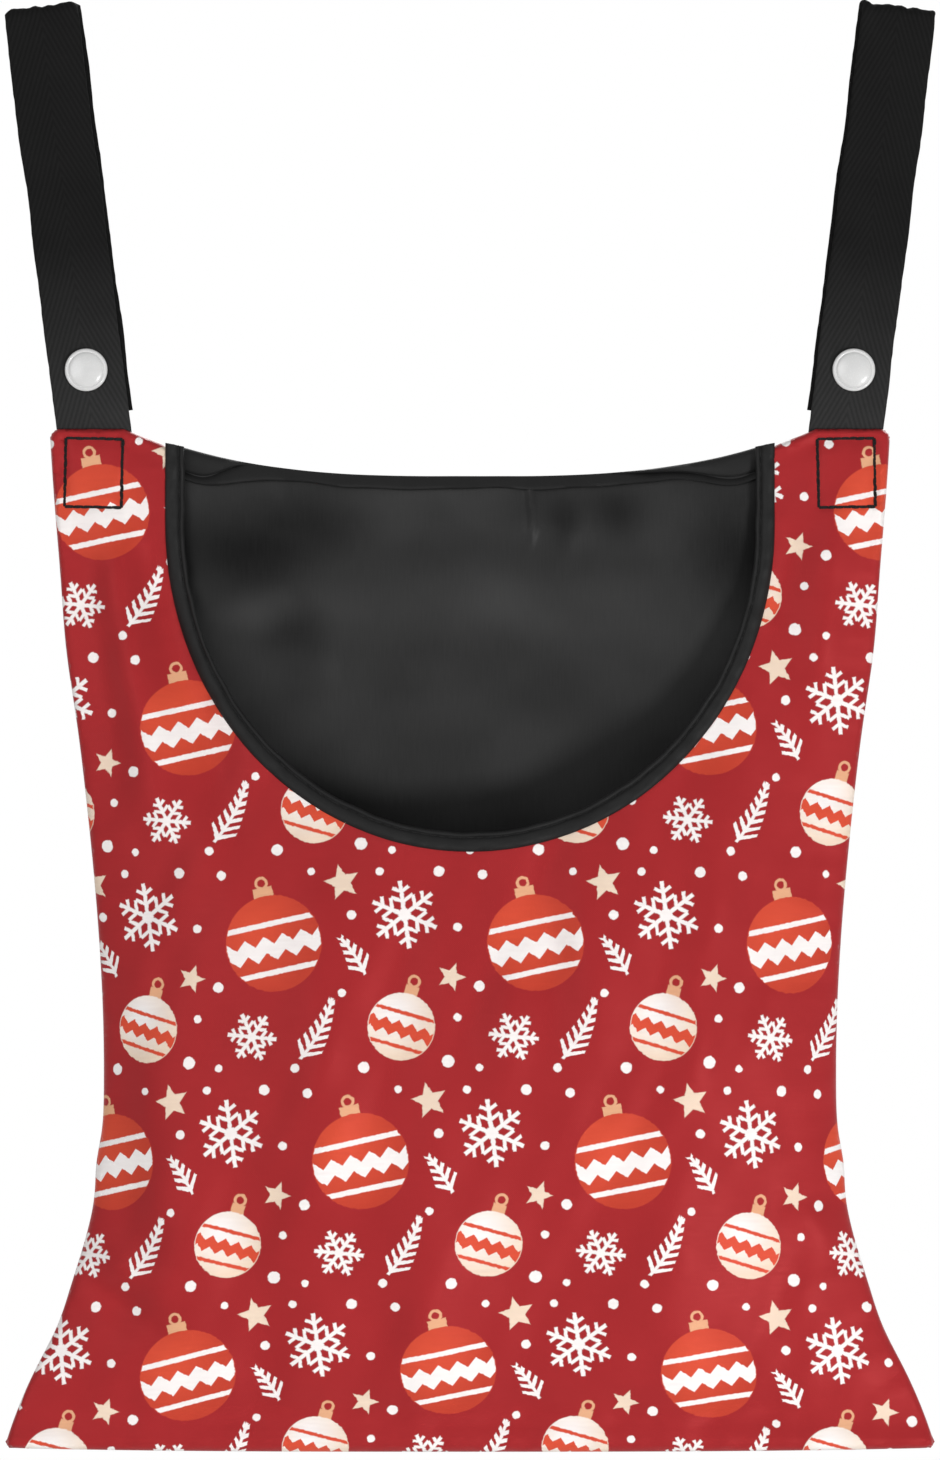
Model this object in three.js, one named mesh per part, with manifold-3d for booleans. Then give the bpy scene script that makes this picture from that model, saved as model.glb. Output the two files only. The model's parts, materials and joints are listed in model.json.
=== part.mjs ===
// A lined cloth bag that hangs on a line by two twill straps. Each strap is sewn into a shoulder, folds over
// the line and snaps back onto itself. Millimetres, +Z up, front towards -Y, origin on the line's axis
// midway between the two loops.
import * as THREE from "three";
import { mergeVertices } from "three/addons/utils/BufferGeometryUtils.js";
import Module from "manifold-3d";

const wasm = await Module();
wasm.setup();

// Body of the bag
const shoulderDrop = 133.5; // from the line down to the shoulders' top edge
const bodyHeight = 331; // from the shoulders down to the hem
const shoulderHalf = 136;
const waistHalf = 118.5;
const waistDrop = 207; // from the shoulders down to the narrowest place
const hemHalf = 151;
const shoulderSlope = 0.55; // how soon the sides draw in below the shoulders
const frontBelly = 25; // how far each side stands out from the seam plane
const backBelly = 21;
const bellyDrop = 215; // from the shoulders down to the deepest place
const bellyPower = 4; // how flat a side stays before it turns in to its seams
const cloth = 0.6;
const seatGap = 0.3; // clearance between pieces that lie on one another
const foldFade = 12; // how far in from an edge the folds reach their full height
const mouthRest = 9; // cloth beside the mouth that has no folds

// Main folds of the two sides: where each starts and ends as [x, z], its half width and its height
const frontFolds = [
  { start: [-119, -168], end: [-100, -258], width: 7, height: 4.4 },
  { start: [-110, -166], end: [-78, -258], width: 7.5, height: -3.8 },
  { start: [-84, -262], end: [-62, -336], width: 13, height: 2.8 },
  { start: [-108, -300], end: [-98, -404], width: 10, height: 2.6 },
  { start: [-82, -334], end: [-68, -440], width: 12, height: -2.6 },
  { start: [-50, -292], end: [-38, -384], width: 11, height: 2.8 },
  { start: [-20, -284], end: [-28, -352], width: 11, height: -2.6 },
  { start: [14, -306], end: [10, -354], width: 9, height: 2.6 },
  { start: [34, -270], end: [40, -326], width: 8, height: 3.2 },
  { start: [21, -276], end: [26, -320], width: 8, height: -2.4 },
  { start: [82, -250], end: [76, -304], width: 9, height: 2.8 },
  { start: [71, -306], end: [74, -346], width: 8, height: 2.6 },
  { start: [58, -276], end: [60, -352], width: 9, height: -2.4 },
  { start: [103, -215], end: [90, -318], width: 10, height: -3 },
  { start: [118, -160], end: [112, -240], width: 7, height: 3 },
  { start: [-22, -372], end: [-14, -438], width: 11, height: 2.4 },
  { start: [30, -366], end: [26, -442], width: 12, height: -2.6 },
  { start: [66, -362], end: [60, -438], width: 11, height: 2.6 },
  { start: [96, -340], end: [100, -442], width: 11, height: -2.6 },
  { start: [-138, -392], end: [-100, -410], width: 6, height: 3 },
  { start: [-134, -405], end: [-96, -426], width: 6, height: -2.8 },
];
const backFolds = [
  { start: [-60, -165], end: [-72, -380], width: 16, height: -1.6 },
  { start: [-20, -160], end: [-26, -300], width: 14, height: 1.4 },
  { start: [40, -165], end: [58, -390], width: 17, height: -1.5 },
  { start: [96, -180], end: [82, -420], width: 15, height: 1.4 },
  { start: [-104, -200], end: [-90, -430], width: 14, height: 1.3 },
  { start: [8, -310], end: [4, -450], width: 18, height: 1.1 },
];
const foldEnd = 0.35; // a fold's height at its ends, as a share of that halfway along

// Mouth and its tape
const shoulderLedge = 11.2; // shoulder left between a strap and the mouth
const mouthSide = 31.5; // straight sides, from the shoulders' height down to where the round begins
const mouthDepth = 136.5; // from the shoulders' height down to the tape's outer edge
const backSag = 16.5; // how far the back's top edge hangs below the shoulders
const sagRun = 13.5; // how far outside the mouth that edge starts to fall
const tapeWidth = 6.2; // folded width
const tapeWall = 0.8;
const tapeGap = 0.5; // clearance between the folded tape and the cloth in it

// Straps
const strapWidth = 24;
const strapThickness = 1.2;
const strapMargin = 2.3; // from a shoulder's outer corner to the strap's edge
const strapLean = THREE.MathUtils.degToRad(7.3);
const foldRadius = 2.5; // inside the fold over the line
const flapRise = 4.8; // from the shoulders up to the flap's free end
const flapShift = 1; // how far the flap lies inwards of the sewn leg
const bendRise = 2.4; // from the shoulders up to where the strap bends

// Box stitch that holds a strap's tail
const stitchInset = 2.3; // from the strap's edge
const stitchDrop = 2.6; // below the shoulder's edge
const stitchHeight = 23.3;
const threadWidth = 1.1;
const threadHeight = 0.6;
const tailMargin = 2; // tail below the stitch

// Snap fastener
const snapRise = 19.1; // from the shoulders up to the snap
const capRadius = 6.9;
const capEdge = 0.9; // height of the cap's upright rim
const capDome = 1.5; // crown above that rim
const capBevel = 0.7;
const prongRadius = 1.1;
const prongClear = 0.35;
const flangeRadius = 4.6;
const flangeThickness = 0.9;
const bossRadius = 2.5;
const bossHeight = 2.4;
const socketRadius = 5.6;
const snapClear = 0.3;
const snapChamfer = 0.4;

// Facets
const gridColumns = 28;
const gridRows = 20;
const mouthSideSteps = 3;
const mouthSteps = 26;
const hemSteps = 18;
const stitchSteps = 3;
const roundSides = 20;
const crownSteps = 4;
const foldSteps = 6;
const weldReach = 1e-4; // points nearer than this are one point

// Places that follow from the sizes above
const topZ = -shoulderDrop;
const hemZ = topZ - bodyHeight;
const waistZ = topZ - waistDrop;
const foldOuter = foldRadius + strapThickness;
const seamY = -(foldRadius + strapThickness / 2);
const strapHalf = strapWidth / 2;
const strapAtShoulder = shoulderHalf - strapMargin - strapHalf;
const loopHalf = strapAtShoulder + shoulderDrop * Math.tan(strapLean);
const mouthHalf = strapAtShoulder - strapHalf - shoulderLedge;
const sagHalf = mouthHalf + sagRun;
const tailLength = stitchDrop + stitchHeight + tailMargin;
const stack = 2 * cloth + seatGap; // a panel and its lining
const prongHoleRadius = prongRadius + prongClear;
const rawEdge = tapeWidth - tapeWall - tapeGap; // how deep the cloth reaches into the folded tape
const alongStrap = (drop) => -drop / Math.cos(strapLean);
const bendZ = alongStrap(shoulderDrop - bendRise);
const snapZ = alongStrap(shoulderDrop - snapRise);

const RED_CLOTH = { color: 0xa82b30, roughness: 0.62 };
const BLACK_SATIN = { color: 0x262626, roughness: 0.42 };
const BLACK_TAPE = { color: 0x1c1c1c, roughness: 0.6 };
const BLACK_TWILL = { color: 0x202020, roughness: 0.8 };
const BLACK_THREAD = { color: 0x121212, roughness: 0.7 };
const WHITE_CAP = { color: 0xe8e8e6, roughness: 0.22 };

function piece(name, geometry, finish) {
  const mesh = new THREE.Mesh(geometry, new THREE.MeshStandardMaterial({ metalness: 0, ...finish }));
  mesh.name = name;
  return mesh;
}

// A closed surface with shared vertices, turned to face outwards
function closed(geometry) {
  geometry.deleteAttribute("normal");
  geometry.deleteAttribute("uv");
  const merged = mergeVertices(geometry, weldReach);
  const at = (k) => new THREE.Vector3().fromBufferAttribute(merged.attributes.position, merged.index.getX(k));
  let volume = 0;
  for (let k = 0; k < merged.index.count; k += 3) {
    volume += at(k).dot(at(k + 1).cross(at(k + 2)));
  }
  if (volume < 0) {
    merged.index.array.reverse();
  }
  return merged;
}

function toManifold(geometry) {
  const mesh = closed(geometry);
  const vertProperties = Float32Array.from(mesh.attributes.position.array);
  const triVerts = Uint32Array.from(mesh.index.array);
  return new wasm.Manifold(new wasm.Mesh({ numProp: 3, vertProperties, triVerts }));
}

function subtract(geometry, ...cutters) {
  let solid = toManifold(geometry);
  for (const cutter of cutters) {
    solid = solid.subtract(toManifold(cutter));
  }
  const mesh = solid.getMesh();
  return new THREE.BufferGeometry()
    .setAttribute("position", new THREE.BufferAttribute(mesh.vertProperties, 3))
    .setIndex(new THREE.BufferAttribute(mesh.triVerts, 1));
}

// Triangles across the end of a ring: a strip between its two faces, or a filled outline
function endFaces(ring, turnAt) {
  if (turnAt < ring.length) {
    const last = ring.length - 1;
    return Array.from({ length: turnAt - 1 }, (_, m) => [
      [m, m + 1, last - m - 1],
      [m, last - m - 1, last - m],
    ]).flat();
  }
  const outline = ring.map((p) => p.flat);
  const faces = THREE.ShapeUtils.triangulateShape(outline, []);
  return THREE.ShapeUtils.isClockWise(outline) ? faces.map((face) => face.reverse()) : faces;
}

// A closed skin over rings of points: rings[k][m] is point m of ring k, and loops says if the rings close.
// From point turnAt on, a ring runs back over its other face, with the same diagonals as on the first face.
function skin(rings, loops, turnAt = Infinity) {
  const count = rings[0].length;
  const index = [];
  const spans = loops ? rings.length : rings.length - 1;
  for (let k = 0; k < spans; k++) {
    const here = k * count;
    const next = ((k + 1) % rings.length) * count;
    for (let m = 0; m < count; m++) {
      const n = (m + 1) % count;
      if (m < turnAt) {
        index.push(here + m, here + n, next + n, here + m, next + n, next + m);
      } else {
        index.push(here + m, here + n, next + m, here + n, next + n, next + m);
      }
    }
  }
  if (!loops) {
    const last = (rings.length - 1) * count;
    for (const [a, b, c] of endFaces(rings[0], turnAt)) {
      index.push(a, c, b, last + a, last + b, last + c);
    }
  }
  const positions = rings.flat().flatMap((p) => [p.x, p.y, p.z]);
  return closed(
    new THREE.BufferGeometry()
      .setAttribute("position", new THREE.Float32BufferAttribute(positions, 3))
      .setIndex(index),
  );
}

// Half width of the body: it narrows from the shoulders to the waist, then flares late and eases at the hem
function sideHalf(z) {
  if (z >= waistZ) {
    const s = Math.max(0, (topZ - z) / waistDrop);
    const fall = shoulderSlope * s * (1 - s) ** 2 + s * s * (3 - 2 * s);
    return shoulderHalf - (shoulderHalf - waistHalf) * fall;
  }
  const s = (waistZ - z) / (waistZ - hemZ);
  const flare = s ** 3 * (3 - 2 * s);
  return waistHalf + (hemHalf - waistHalf) * flare;
}

// How far a side stands out at a place, as the cloth swells between its seams
function swell(x, z, belly) {
  const s = Math.min(1, Math.max(0, (topZ - z) / bodyHeight));
  const power = Math.log(0.5) / Math.log(bellyDrop / bodyHeight);
  const across = Math.max(0, 1 - Math.abs(x / sideHalf(z)) ** bellyPower);
  return belly * Math.sin(Math.PI * s ** power) * across;
}

// Half of the room between the two linings at their seams, wider at the shoulders for the strap tails
function seamRoom(z) {
  const wide = strapThickness / 2 + seatGap;
  const narrow = seatGap / 2;
  const ease = THREE.MathUtils.smoothstep(topZ - z, tailLength + tailMargin, 2 * tailLength);
  return THREE.MathUtils.lerp(wide, narrow, ease);
}

const front = { side: -1, belly: frontBelly, folds: frontFolds, hasMouth: true };
const back = { side: 1, belly: backBelly, folds: backFolds, hasMouth: false };

// How far a place lies below and beside the mouth's outline
function clearOfMouth(x, z) {
  const below = Math.max(0, topZ - mouthSide - z) / (mouthDepth - mouthSide);
  return (Math.hypot(x / mouthHalf, below) - 1) * mouthHalf;
}

// How far a wall's folds stand out at a place. They die out towards its seams, its shoulders and its mouth.
function folded(wall, x, z) {
  const { smoothstep, lerp } = THREE.MathUtils;
  let loose = smoothstep(sideHalf(z) - Math.abs(x), 0, foldFade) * smoothstep(z - hemZ, 0, foldFade);
  loose *= smoothstep(topZ - z, tailLength + tailMargin, 2 * tailLength);
  if (wall.hasMouth) {
    loose *= smoothstep(clearOfMouth(x, z) - mouthRest, 0, foldFade);
  }
  let total = 0;
  for (const { start, end, width, height } of wall.folds) {
    const line = new THREE.Line3(new THREE.Vector3(start[0], 0, start[1]), new THREE.Vector3(end[0], 0, end[1]));
    const place = new THREE.Vector3(x, 0, z);
    const share = line.closestPointToPointParameter(place, true);
    const away = line.at(share, new THREE.Vector3()).distanceTo(place);
    total += height * lerp(foldEnd, 1, Math.sin(Math.PI * share)) * Math.exp(-((away / width) ** 2));
  }
  return loose * total;
}

// A place on a wall, at a height above its lining's inner face
function onWall(wall, x, z, height) {
  const rise = seamRoom(z) + swell(x, z, wall.belly) + folded(wall, x, z) + height;
  return new THREE.Vector3(x, seamY + wall.side * rise, z);
}

// Top edge of the cloth, level on the shoulders and sagging between them
function topEdge(x) {
  const across = Math.min(1, Math.abs(x) / sagHalf);
  return topZ - backSag * (1 - across ** 3);
}

// One layer of cloth, seam to seam: layer 0 is the lining and layer 1 the panel outside it
function clothLayer(wall, layer) {
  const near = layer * (cloth + seatGap);
  const row = (v) => {
    const line = [];
    for (let i = 0; i <= gridColumns; i++) {
      const u = (2 * i) / gridColumns - 1;
      const z = THREE.MathUtils.lerp(hemZ, topEdge(u * shoulderHalf), v);
      line.push({ x: u * sideHalf(z), z });
    }
    const inside = line.map((p) => onWall(wall, p.x, p.z, near));
    const outside = line.map((p) => onWall(wall, p.x, p.z, near + cloth)).reverse();
    return [...inside, ...outside];
  };
  const rings = [];
  for (let j = 0; j <= gridRows; j++) {
    rings.push(row(j / gridRows));
  }
  return skin(rings, false, gridColumns + 1);
}

// The mouth's outline at the tape's outer edge, as places with a direction into the mouth
function mouthLine() {
  const roundZ = topZ - mouthSide;
  const roundDepth = mouthDepth - mouthSide;
  const startZ = topEdge(mouthHalf);
  const line = [];
  for (let k = 0; k < mouthSideSteps; k++) {
    line.push({ x: -mouthHalf, z: THREE.MathUtils.lerp(startZ, roundZ, k / mouthSideSteps), nx: 1, nz: 0 });
  }
  for (let k = 0; k <= mouthSteps; k++) {
    const angle = Math.PI * (1 - k / mouthSteps);
    const inward = new THREE.Vector2(-Math.cos(angle) / mouthHalf, Math.sin(angle) / roundDepth).normalize();
    const x = mouthHalf * Math.cos(angle);
    const z = roundZ - roundDepth * Math.sin(angle);
    line.push({ x, z, nx: inward.x, nz: inward.y });
  }
  const mirrored = line.slice(0, mouthSideSteps).reverse();
  return [...line, ...mirrored.map((p) => ({ ...p, x: -p.x, nx: -p.nx }))];
}

// A prism through the front that takes the mouth out of the cloth
function mouthCutter() {
  const line = mouthLine();
  const points = line.map((p) => new THREE.Vector2(p.x + p.nx * rawEdge, p.z + p.nz * rawEdge));
  const above = topZ + tapeWidth;
  points.push(new THREE.Vector2(points.at(-1).x, above), new THREE.Vector2(points[0].x, above));
  const depth = 2 * (frontBelly + backBelly);
  return new THREE.ExtrudeGeometry(new THREE.Shape(points), { depth, bevelEnabled: false })
    .rotateX(Math.PI / 2)
    .translate(0, depth / 2, 0);
}

// A strip laid along a line on a wall. The section's points are [distance along the line's direction,
// height above the panel's outer face].
function stripOn(wall, line, section, loops) {
  const rings = line.map((p) =>
    section.map(([reach, height]) => {
      const x = p.x + p.nx * reach;
      const z = p.z + p.nz * reach;
      const point = onWall(wall, x, z, stack + height);
      point.flat = new THREE.Vector2(reach, height);
      return point;
    }),
  );
  return skin(rings, loops);
}

// Section of a tape folded over a panel and its lining, with the fold's corners taken off
function tapeSection() {
  const over = tapeGap + tapeWall;
  const under = -stack - tapeGap;
  const fold = tapeWidth - tapeWall;
  const corner = tapeWall;
  return [
    [0, over],
    [tapeWidth - corner, over],
    [tapeWidth, over - corner],
    [tapeWidth, under - tapeWall + corner],
    [tapeWidth - corner, under - tapeWall],
    [0, under - tapeWall],
    [0, under],
    [fold, under],
    [fold, tapeGap],
    [0, tapeGap],
  ];
}

// The back's top edge at the tape's lower edge, between the two ends of the mouth tape
function backHemLine() {
  const end = mouthHalf - tapeWidth - seatGap;
  const line = [];
  for (let k = 0; k <= hemSteps; k++) {
    const x = THREE.MathUtils.lerp(-end, end, k / hemSteps);
    line.push({ x, z: topEdge(x) - rawEdge, nx: 0, nz: 1 });
  }
  return line;
}

// A rectangle of thread in the front of a shoulder
function boxStitch(side) {
  const halfWidth = strapHalf - stitchInset;
  const halfHeight = stitchHeight / 2;
  const centreX = side * strapAtShoulder;
  const centreZ = topZ - stitchDrop - halfHeight;
  const corners = [
    [-1, 1],
    [1, 1],
    [1, -1],
    [-1, -1],
  ];
  const line = [];
  corners.forEach(([sx, sz], k) => {
    const [ex, ez] = corners[(k + 1) % corners.length];
    for (let m = 0; m < stitchSteps; m++) {
      const share = m / stitchSteps;
      const atCorner = m === 0;
      line.push({
        x: centreX + halfWidth * THREE.MathUtils.lerp(sx, ex, share),
        z: centreZ + halfHeight * THREE.MathUtils.lerp(sz, ez, share),
        nx: atCorner || sx === ex ? -sx : 0,
        nz: atCorner || sz === ez ? -sz : 0,
      });
    }
  });
  const section = [
    [0, seatGap],
    [0, seatGap + threadHeight],
    [threadWidth, seatGap + threadHeight],
    [threadWidth, seatGap],
  ];
  return stripOn(front, line, section, true);
}

// A strap's outline as seen from its side, drawn out to the strap's width
function acrossStrap(outline) {
  const sideways = new THREE.Matrix4().makeBasis(
    new THREE.Vector3(0, 1, 0),
    new THREE.Vector3(0, 0, 1),
    new THREE.Vector3(1, 0, 0),
  );
  const drawn = { depth: strapWidth, bevelEnabled: false, curveSegments: foldSteps };
  return new THREE.ExtrudeGeometry(outline, drawn).applyMatrix4(sideways).translate(-strapHalf, 0, 0);
}

// Half of a strap's loop: one run of tape up to the line and a quarter of the fold. It is the front run, and
// turned round it is the one behind.
function strapRun(length) {
  const outerEnd = Math.acos(-seatGap / 2 / foldOuter);
  const innerEnd = Math.acos(-seatGap / 2 / foldRadius);
  const outline = new THREE.Shape();
  outline.moveTo(-foldOuter, -length);
  outline.lineTo(-foldOuter, 0);
  outline.absarc(0, 0, foldOuter, Math.PI, outerEnd, true);
  outline.lineTo(foldRadius * Math.cos(innerEnd), foldRadius * Math.sin(innerEnd));
  outline.absarc(0, 0, foldRadius, innerEnd, Math.PI, false);
  outline.lineTo(-foldRadius, -length);
  return acrossStrap(outline);
}

function prongHole() {
  const length = 4 * foldOuter;
  const hole = new THREE.CylinderGeometry(prongHoleRadius, prongHoleRadius, length, roundSides);
  return hole.translate(0, 0, snapZ);
}

// A block that ends the sewn leg just above the bend, along a level line although the strap leans
function bendCutter(side) {
  const size = 2 * strapWidth;
  const top = strapThickness / 2 + seatGap;
  return new THREE.BoxGeometry(size, size, size)
    .translate(0, 0, top - size / 2)
    .rotateY(-side * strapLean)
    .translate(0, seamY, bendZ);
}

function strapLeg(side) {
  const length = strapWidth * Math.tan(strapLean) - bendZ;
  return subtract(strapRun(length), prongHole(), bendCutter(side));
}

function strapFlap(side) {
  const length = -alongStrap(shoulderDrop - flapRise);
  const behind = strapRun(length).rotateZ(Math.PI).translate(-side * flapShift, 0, 0);
  return subtract(behind, prongHole());
}

// The sewn end of a strap. Its top is half round about the bend, and both its ends are level.
function strapTail(side) {
  const half = strapThickness / 2;
  const length = bendZ - alongStrap(shoulderDrop + tailLength);
  const outline = new THREE.Shape();
  outline.moveTo(-half, -length);
  outline.lineTo(-half, 0);
  outline.absarc(0, 0, half, Math.PI, 0, true);
  outline.lineTo(half, -length);
  const level = new THREE.Matrix4().makeShear(0, Math.tan(side * strapLean), 0, 0, 0, 0);
  return acrossStrap(outline).applyMatrix4(level).translate(0, seamY, bendZ);
}

// The snap's pieces are turned about an axis across the strap, so their profiles are [radius, depth].
// Depth runs from the front of the strap to the back, with the middle of the loop at 0.
function turned(profile) {
  const points = profile.map(([radius, depth]) => new THREE.Vector2(radius, depth));
  return closed(new THREE.LatheGeometry(points, roundSides).translate(0, 0, snapZ));
}

const studFace = -foldRadius + seatGap; // where the stud's flange lies on the sewn leg
const studFront = studFace + flangeThickness;
const bossEnd = studFront + bossHeight;
const socketBack = foldRadius - seatGap; // where the socket lies on the flap
const socketFloor = bossEnd + snapClear;
const socketFront = studFront + snapClear;

// A domed cap with a bevelled rim and its prong, lying on the strap's outside at the front
function snapCap(prongEnd) {
  const seat = -foldOuter - seatGap;
  const rim = seat - capEdge;
  const crownRadius = capRadius - capBevel;
  const crownStart = rim - capBevel / 2;
  const crown = [];
  for (let k = 0; k <= crownSteps; k++) {
    const angle = (Math.PI / 2) * (k / crownSteps);
    crown.push([crownRadius * Math.cos(angle), crownStart - (capDome - capBevel / 2) * Math.sin(angle)]);
  }
  crown[crownSteps][0] = 0;
  const prong = [[0, prongEnd], [prongRadius, prongEnd], [prongRadius, seat]];
  return turned([...prong, [capRadius, seat], [capRadius, rim], ...crown]);
}

const frontCap = () => snapCap(bossEnd - snapClear);

function rearCap() {
  return snapCap(-socketFloor).rotateZ(Math.PI);
}

function snapStud() {
  const start = [prongHoleRadius, studFace];
  return turned([
    start,
    [flangeRadius, studFace],
    [flangeRadius, studFront],
    [bossRadius, studFront],
    [bossRadius, bossEnd - snapChamfer],
    [bossRadius - snapChamfer, bossEnd],
    [prongHoleRadius, bossEnd],
    start,
  ]);
}

function snapSocket() {
  const start = [prongHoleRadius, socketBack];
  return turned([
    start,
    [socketRadius, socketBack],
    [socketRadius, socketFront + snapChamfer],
    [socketRadius - snapChamfer, socketFront],
    [bossRadius + snapClear, socketFront],
    [bossRadius + snapClear, socketFloor],
    [prongHoleRadius, socketFloor],
    start,
  ]);
}

// One strap with its snap, in a frame that leans with it and has the line's axis at its origin
function strap(hand, side) {
  const group = new THREE.Group();
  group.position.x = side * loopHalf;
  group.rotation.y = side * strapLean;
  group.add(
    piece(`${hand}_strap_tail`, strapTail(side), BLACK_TWILL),
    piece(`${hand}_strap_leg`, strapLeg(side), BLACK_TWILL),
    piece(`${hand}_strap_flap`, strapFlap(side), BLACK_TWILL),
    piece(`${hand}_snap_front_cap`, frontCap(), WHITE_CAP),
    piece(`${hand}_snap_stud`, snapStud(), WHITE_CAP),
    piece(`${hand}_snap_socket`, snapSocket(), WHITE_CAP),
    piece(`${hand}_snap_rear_cap`, rearCap(), WHITE_CAP),
  );
  return group;
}

function bag() {
  const group = new THREE.Group();
  const mouth = mouthCutter();
  group.add(
    piece("front_panel", subtract(clothLayer(front, 1), mouth.clone()), RED_CLOTH),
    piece("front_lining", subtract(clothLayer(front, 0), mouth.clone()), BLACK_SATIN),
    piece("back_panel", clothLayer(back, 1), RED_CLOTH),
    piece("back_lining", clothLayer(back, 0), BLACK_SATIN),
    piece("mouth_binding", stripOn(front, mouthLine(), tapeSection(), false), BLACK_TAPE),
    piece("back_hem_tape", stripOn(back, backHemLine(), tapeSection(), false), BLACK_TAPE),
    piece("left_box_stitch", boxStitch(-1), BLACK_THREAD),
    piece("right_box_stitch", boxStitch(1), BLACK_THREAD),
  );
  return group;
}

const pegBag = new THREE.Group();
pegBag.add(bag(), strap("left", -1), strap("right", 1));

export default pegBag;
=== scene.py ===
# A lined peg bag that hangs by two twill straps: its cloth, tapes, stitches, straps and snaps, built round
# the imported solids. Shapes are worked out in millimetres and turn into metres when a mesh is made.
import json
import math

import bpy
import numpy as np
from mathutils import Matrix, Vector
from mathutils.geometry import delaunay_2d_cdt

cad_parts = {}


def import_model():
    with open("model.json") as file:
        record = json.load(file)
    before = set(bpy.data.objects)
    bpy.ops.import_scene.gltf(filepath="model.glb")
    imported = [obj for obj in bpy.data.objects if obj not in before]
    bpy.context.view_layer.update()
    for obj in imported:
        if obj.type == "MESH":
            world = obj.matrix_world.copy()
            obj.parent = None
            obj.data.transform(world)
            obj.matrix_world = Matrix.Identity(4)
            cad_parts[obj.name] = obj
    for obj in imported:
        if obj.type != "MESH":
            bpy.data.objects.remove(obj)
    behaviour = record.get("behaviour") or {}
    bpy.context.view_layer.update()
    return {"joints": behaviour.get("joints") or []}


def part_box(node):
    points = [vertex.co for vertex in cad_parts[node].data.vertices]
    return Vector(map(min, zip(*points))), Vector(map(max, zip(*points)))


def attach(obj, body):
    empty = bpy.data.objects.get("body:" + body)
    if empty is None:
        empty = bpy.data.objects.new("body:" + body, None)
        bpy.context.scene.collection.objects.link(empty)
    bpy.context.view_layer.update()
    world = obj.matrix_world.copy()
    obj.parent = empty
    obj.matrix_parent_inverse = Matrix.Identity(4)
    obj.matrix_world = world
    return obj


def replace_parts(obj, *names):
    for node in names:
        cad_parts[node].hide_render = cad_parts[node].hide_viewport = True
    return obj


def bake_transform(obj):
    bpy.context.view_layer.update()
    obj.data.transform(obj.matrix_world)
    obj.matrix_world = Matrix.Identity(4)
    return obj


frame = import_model()

MM = 0.001
HANDS = {"left": -1, "right": 1}

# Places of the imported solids: the joints in metres, the named values in millimetres
joints = {joint["name"]: joint for joint in frame["joints"]}
swing_at = Vector(joints["bag_swing"]["pos_m"])
fold_at = Vector(joints["right_flap_fold"]["pos_m"])
fold_axis = Vector(joints["right_flap_fold"]["axis"])
SEAM_Y = swing_at.y / MM
LEAN = math.atan2(-fold_axis.z, fold_axis.x)
LOOP_HALF = (fold_at.x - fold_at.z * math.tan(LEAN)) / MM
SHOULDER_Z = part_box("back_panel")[1].z / MM
HEM_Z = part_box("back_panel")[0].z / MM
HEM_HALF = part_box("back_panel")[1].x / MM

# Body of the bag
BODY_HEIGHT = SHOULDER_Z - HEM_Z
SHOULDER_HALF = 136
WAIST_HALF = 118.5
WAIST_DROP = 207
WAIST_Z = SHOULDER_Z - WAIST_DROP
SHOULDER_SLOPE = 0.55
BELLY_DROP = 215
BELLY_POWER = 4  # how flat a wall stays before it turns in to its seams
FRONT_BELLY = 25
BACK_BELLY = 21
STACK = 1.5  # a panel and its lining
CLOTH = 0.5  # thickness of one layer
SHOULDER_ROUND = 3.2
HEM_ROUND = 4
HEM_LIFT = 1.3  # how far the hem rises towards its corners
SIDE_BUMPS = ((0.9, -205, 20), (1.2, -371, 9), (-1.2, -424, 12))  # depth, place and length of each
TURN = 2  # how far in from a seam the cloth turns over
LINING_INSET = 3
ROOM_AT_TAILS = 0.9  # half of the room between the linings at their seams, beside the strap tails
ROOM_BELOW = 0.15

# Mouth and tapes
MOUTH_HALF = 98.5
MOUTH_SIDE = 31.5
MOUTH_DEPTH = 136.5
BACK_SAG = 16.5
SAG_HALF = 112
TAPE_WIDTH = 6.2
RAW_EDGE = 4.4  # how deep the cloth reaches into the mouth tape
TAPE_TUCK = 0.6  # how far the back's cloth stays below the fold of its tape

# Straps and their stitches
STRAP_HALF = 12
STRAP_WALL = 0.6  # half of the tape's thickness
STRAP_CLEAR = 0.2
FOLD_RADIUS = 3.1  # of the tape's middle, over the line
FLAP_SHIFT = 1
FLAP_RISE = 4.8
TAIL_LENGTH = 27.9
SPLIT_RISE = 34  # where the two pieces of a strap meet, above the shoulders
STITCH_HALF_WIDTH = 9.2
STITCH_HALF_HEIGHT = 11.1
STITCH_CENTRE_DROP = 14.25
STITCH_TILT = 0.02
SNAP_RISE = 19.1

# Fineness of the meshes
GRID = 3
LINE_STEP = 2.4
DETAIL_STEP = 1.1
MERGE_REACH = 0.001
EDGE_ROWS = (0.3, 0.9, TURN)


def ease(start, end, value):
    """Goes smoothly from 0 at start to 1 at end."""
    s = np.clip((value - start) / (end - start), 0, 1)
    return s * s * (3 - 2 * s)


def waver(t, height, length, seed):
    """A smooth irregular wave, with bumps about as high as height and as long as length."""
    draw = np.random.default_rng(seed)
    stretches = (0.62, 0.9, 1.31, 1.9)
    waves = [np.sin(2 * math.pi * (t / (length * stretch) + draw.random())) for stretch in stretches]
    usual_height = 2.2
    return height * (sum(waves) / usual_height)


def rolls(x, z, height, width, length, seed):
    """Soft irregular folds about as high as height, width apart across and length apart down the cloth."""
    draw = np.random.default_rng(seed)
    total = np.zeros_like(x)
    for _ in range(7):
        across = draw.uniform(0.5, 1.4) / width
        down = draw.uniform(-1.2, 1.2) / length
        total += np.sin(2 * math.pi * (x * across + z * down + draw.random()))
    usual_height = 2.6
    return height * (total / usual_height)


def bell(distance, width):
    return np.exp(-((distance / width) ** 2))


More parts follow.
